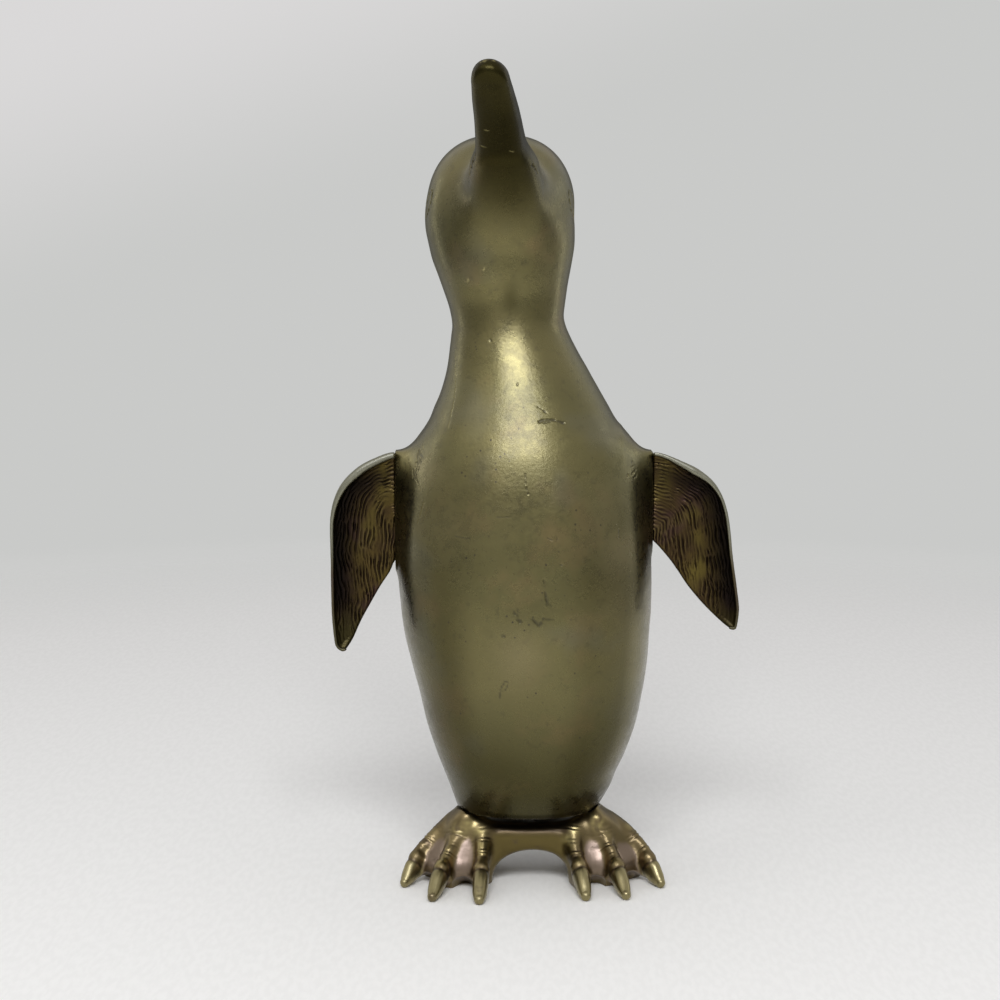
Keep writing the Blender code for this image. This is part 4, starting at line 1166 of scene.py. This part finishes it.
def feet_attributes(p):
    """Where the feet are web or claw, rubbed bright with painted highlights, or grooved and dirty, with
    painted shade on the bridge's top.
    """
    web, claw, wear, groove = (np.zeros(len(p)) for _ in range(4))
    for side in (-1, 1):
        here = p[:, 0] * side > 8
        q = p[here]
        for k, toe in enumerate(TOES[side]):
            value, along, _, _ = sweep(q, toe.path, TOE_POWER, TOE_CAP, toe.skirt)
            close = 1 - smooth_step(value, 0.2, 1.0)
            tipward = smooth_step(along, toe.knuckle + 1.0, toe.knuckle + 2.5)
            claw[here] = np.maximum(claw[here], close * tipward)
            # The tops of the toes are painted yellow: rubbed brass and a painted highlight
            top = np.interp(along, toe.run, toe.path[:, 2] + toe.path[:, 4])
            high = smooth_step(q[:, 2] - top, -1.0, 0.3)
            ends = 1 - smooth_step(along, toe.knuckle, toe.knuckle + 2)
            worn = np.clip(0.55 + 0.9 * waves(q, 51 + k, 5.0), 0, 1)
            wear[here] = np.maximum(wear[here], close * high * ends * worn)
            lines = toe.ripple(along, np.zeros(len(q)), np.ones(len(q)))
            groove[here] = np.maximum(groove[here], close * smooth_step(-lines, 0.03, 0.2) * 0.8)
        webs = webs_field(q, side)
        web[here] = smooth_step(toes_field(q, side) - webs, 0.0, 0.9) * smooth_step(0.8 - webs, 0.0, 0.6)
    rubbed = np.clip(0.75 + 0.6 * waves(p, 61, 2.0), 0.2, 1)
    for place in RUBS_AND_HIGHLIGHTS:
        wear = np.maximum(wear, front_spot(p, *place) * rubbed)
    bridge = 1 - smooth_step(np.abs(p[:, 0]), 9.5, 13.0)
    # Painted shade along the top of the bridge, under the body's rim, laid on through the groove colour
    groove = np.maximum(groove, 0.8 * bridge * smooth_step(p[:, 2], 13.8, 15.8))
    return {"web": web * 0.85, "claw": claw * 0.8, "wear": wear * 0.8, "groove": groove, "bridge": bridge}


def beak_and_chin_shade(p):
    """Painted shade on the beak's underside and tip, and under the chin: the underside mirrors the shaded
    chest, and the tip's highlight is dimmed.
    """
    x, y, z = p.T
    value, _, across, over = sweep(p, BEAK_PATH, BEAK_POWER, BEAK_CAP)
    under = (1 - smooth_step(value, 0.5, 1.8)) * smooth_step(-over, -0.35, 0.35)
    under = np.maximum(under, smooth_step(z, 222.0, 225.0))
    under *= 0.97 - 0.42 * smooth_step(np.abs(across + 0.04), 0.74, 0.98)
    under *= smooth_step(z, 195.0, 206.0)
    share, half = read_rows(CHIN, z)[0], read_rows(CHIN_WIDTHS, z)[0]
    chin = share * (1 - smooth_step(np.abs(x - CHIN_MIDDLE) / half, 0.5, 1.05)) * smooth_step(-y, 5.0, 9.0)
    return np.maximum(under, chin)


def body_attributes(p, tones):
    """Patina and painted shade under the beak and chin, beside the flippers, on the lower flanks, along the
    rim and by height; a painted reflection of the camera on the throat; stains; the braze, the marks' bright
    metal and dirt, and a painted highlight on the beak's tip.
    """
    x, y, z = p.T
    patina = layered(beak_and_chin_shade(p), read_rows(PATINA_AND_SHADE_BY_HEIGHT, z)[0])
    # Painted shade on the lower flanks, dimming what they mirror of the floor beside the figure
    middle, _, wide, _ = body_middle(z)
    flank = np.abs(x - middle + 3.0) / wide
    flank = smooth_step(flank, 0.30, 0.60) * (1 - smooth_step(flank, 0.84, 0.96))
    patina = layered(patina, 0.34 * (flank * smooth_step(-z, -104.0, -88.0)))
    # Painted shade in a band on the body beside each flipper's joint
    for flipper in FLIPPERS:
        band = smooth_step(flipper.side * (x - flipper.root), -5.0, -1.5)
        patina = layered(patina, band * smooth_step(z, 86, 96) * smooth_step(-z, -121, -115) * 0.64)
    # Painted reflection of the camera, dark on the throat
    camera_reflection = 0.4 * front_spot(p, *CAMERA_REFLECTION)
    patina = np.clip(patina + camera_reflection + 0.05 * waves(p, 7, 24.0), 0, 1)
    pale = np.zeros(len(p))
    # Stains, and painted reflections of the feet, laid on as darkening and pale brass
    for *place, share in STAINS_AND_PAINTED_LIGHT:
        here = front_spot(p, *place)
        patina = layered(patina, max(share, 0.0) * here)
        pale = np.maximum(pale, -share * here)
    # Painted shade along the bottom rim, which hides the highlight on its edge
    patina = np.maximum(patina, 0.96 * smooth_step(-z, -24.0, -21.6))
    off_x, off_y, off_z = (p - BRAZE).T
    braze = 0.85 * np.exp(-(off_x**2 + off_z**2 + 0.15 * off_y**2) / 7.0) * (y < 0)
    braze *= np.clip(0.9 + 0.5 * waves(p, 8, 1.6), 0.3, 1.0)
    # Bright holds the bright metal of scratches and the braze, and the painted highlight on the beak's tip
    bright = np.maximum(np.clip(tones, 0, 1) * 0.8, braze)
    age = smooth_step(-z, -170.0, -150.0)
    dirt = np.clip(-tones, 0, 1) * 0.9
    satin = front_spot(p, *SATIN)
    return {"patina": patina, "bright": bright, "dirt": dirt, "age": age, "pale": pale, "satin": satin}


def make_body():
    marks = all_marks()

    def marked_field(p):
        return body_field(p) + mark_depth(p, marks)[0]

    points, faces = surface_of(body_field, BODY_BOX, BODY_STEP)
    points, faces = refine(points, faces, near_marks(points, marks), 3)
    close = near_marks(points, marks)
    points[close] = settle(marked_field, points[close], 0.3, 5)
    values = body_attributes(points, mark_depth(points, marks)[1])
    shells = ("body_shell_right", "body_shell_left")
    add_piece("body_casting", points, faces, body_brass(), shells, values)


def make_flippers():
    brass = flipper_brass()
    for flipper in FLIPPERS:
        ends = sorted((flipper.root - flipper.side * 2, flipper.root + flipper.side * 27))
        box = ((ends[0], -9, 62), (ends[1], 6, 128))
        points, faces = surface_of(lambda p: flipper_field(p, flipper), box, FLIPPER_STEP)
        values = flipper_attributes(points, flipper)
        add_piece(flipper.name + "_casting", points, faces, brass, (flipper.name,), values)


def make_feet():
    points, faces = surface_of(feet_field, FEET_BOX, FEET_STEP)
    add_piece("feet", points, faces, feet_brass(), ("feet_casting",), feet_attributes(points))


def make_floor():
    """Pale cloth that fades into the room beyond the figure."""
    mesh = bpy.data.meshes.new("floor")
    corners = [(x * FLOOR_HALF, y * FLOOR_HALF, 0) for x, y in ((-1, -1), (1, -1), (1, 1), (-1, 1))]
    mesh.from_pydata(corners, [], [(0, 1, 2, 3)])
    floor = add_object("floor", mesh)
    material = bpy.data.materials.new("pale_cloth")
    material.use_nodes = True
    tree = material.node_tree
    tree.nodes.clear()
    cloth = add_node(tree, "BsdfDiffuse")
    threads = noise(tree, 0.9, 2.0, (1.0, 0.3, 1.0))
    colour = mix(tree, remap(tree, threads, 0.35, 0.65), (0.895, 0.895, 0.885), (0.925, 0.925, 0.915))
    feed(tree, cloth, {"Color": colour, "Normal": bump(tree, threads, 0.05, 0.3)})
    away = add_node(tree, "VectorMath", {0: place_in(tree)}, operation="LENGTH").outputs["Value"]
    clear = add_node(tree, "BsdfTransparent")
    shares = {0: remap(tree, away, *FLOOR_FADE), 1: cloth.outputs[0], 2: clear.outputs[0]}
    both = add_node(tree, "MixShader", shares)
    add_node(tree, "OutputMaterial", {"Surface": both.outputs[0]})
    mesh.materials.append(material)


def make_world():
    """An even pale room; what the metal mirrors has a dim spot where the photographer stands."""
    world = bpy.data.worlds.new("studio")
    bpy.context.scene.world = world
    world.use_nodes = True
    tree = world.node_tree
    tree.nodes.clear()
    way = add_node(tree, "TexCoord").outputs["Generated"]
    apart = add_node(tree, "SeparateXYZ", {"Vector": way}).outputs

    def facing(direction):
        values = {0: way, 1: Vector(direction)}
        return add_node(tree, "VectorMath", values, operation="DOT_PRODUCT").outputs["Value"]

    glossy = add_node(tree, "LightPath").outputs["Is Glossy Ray"]
    up = math.radians(10)
    body = facing((0.0, -math.cos(up), math.sin(up)))
    body = remap(tree, body, math.cos(math.radians(14)), math.cos(math.radians(4)), 0.0, 0.6)
    sideways = add_node(tree, "Math", {0: apart["X"]}, operation="ABSOLUTE").outputs[0]
    sides = multiply(tree, remap(tree, sideways, 0.45, 0.85), remap(tree, apart["Z"], 0.5, 0.1))
    colour = mix(tree, remap(tree, facing((-0.35, 0.0, 1.0)), 0.03, 0.17), WALL, GLEAM)
    for share, tint in ((body, DIM), (sides, DIM), (remap(tree, apart["Y"], 0.72, 0.92), BEHIND)):
        colour = mix(tree, multiply(tree, share, glossy), colour, tint)
    diffuse = add_node(tree, "LightPath").outputs["Is Diffuse Ray"]
    strength = remap(tree, diffuse, 0.0, 1.0, 1.0, 0.72)
    light = add_node(tree, "Background", {"Color": colour, "Strength": strength})
    add_node(tree, "OutputWorld", {"Surface": light.outputs[0]})


def add_lamp(name, azimuth, elevation, distance, wide, high, radiance, shows=(True, True), tint=(1, 1, 1)):
    """A soft rectangular lamp seen from the figure's chest in a direction, in degrees from the camera's side.

    Shows says whether it lights dull surfaces and whether metal mirrors it.
    """
    light = bpy.data.lights.new(name, "AREA")
    light.shape = "RECTANGLE"
    light.size = wide
    light.size_y = high
    light.energy = radiance * math.pi * wide * high
    light.color = tint
    lamp = add_object(name, light)
    lamp.visible_diffuse, lamp.visible_glossy = shows
    az, el = math.radians(azimuth), math.radians(elevation)
    way = Vector((math.sin(az) * math.cos(el), -math.cos(az) * math.cos(el), math.sin(el)))
    lamp.location = Vector(LAMP_TARGET) + way * distance
    lamp.rotation_euler = (-way).to_track_quat("-Z", "Y").to_euler()


def make_camera():
    camera = bpy.data.cameras.new("camera")
    camera.lens = CAMERA_LENS
    camera.sensor_width = SENSOR
    camera.clip_start = 0.01
    camera.clip_end = 100.0
    holder = add_object("camera", camera)
    holder.location = (np.array(CAMERA_PLACE) + FIGURE_PLACE) * MM
    holder.rotation_euler = (math.radians(90 - CAMERA_PITCH), 0.0, 0.0)
    bpy.context.scene.camera = holder


finish_fasteners()
make_body()
make_flippers()
make_feet()
make_floor()
make_world()
for lamp_row in LAMPS:
    add_lamp(*lamp_row)
make_camera()
bpy.context.scene.view_settings.view_transform = "Standard"
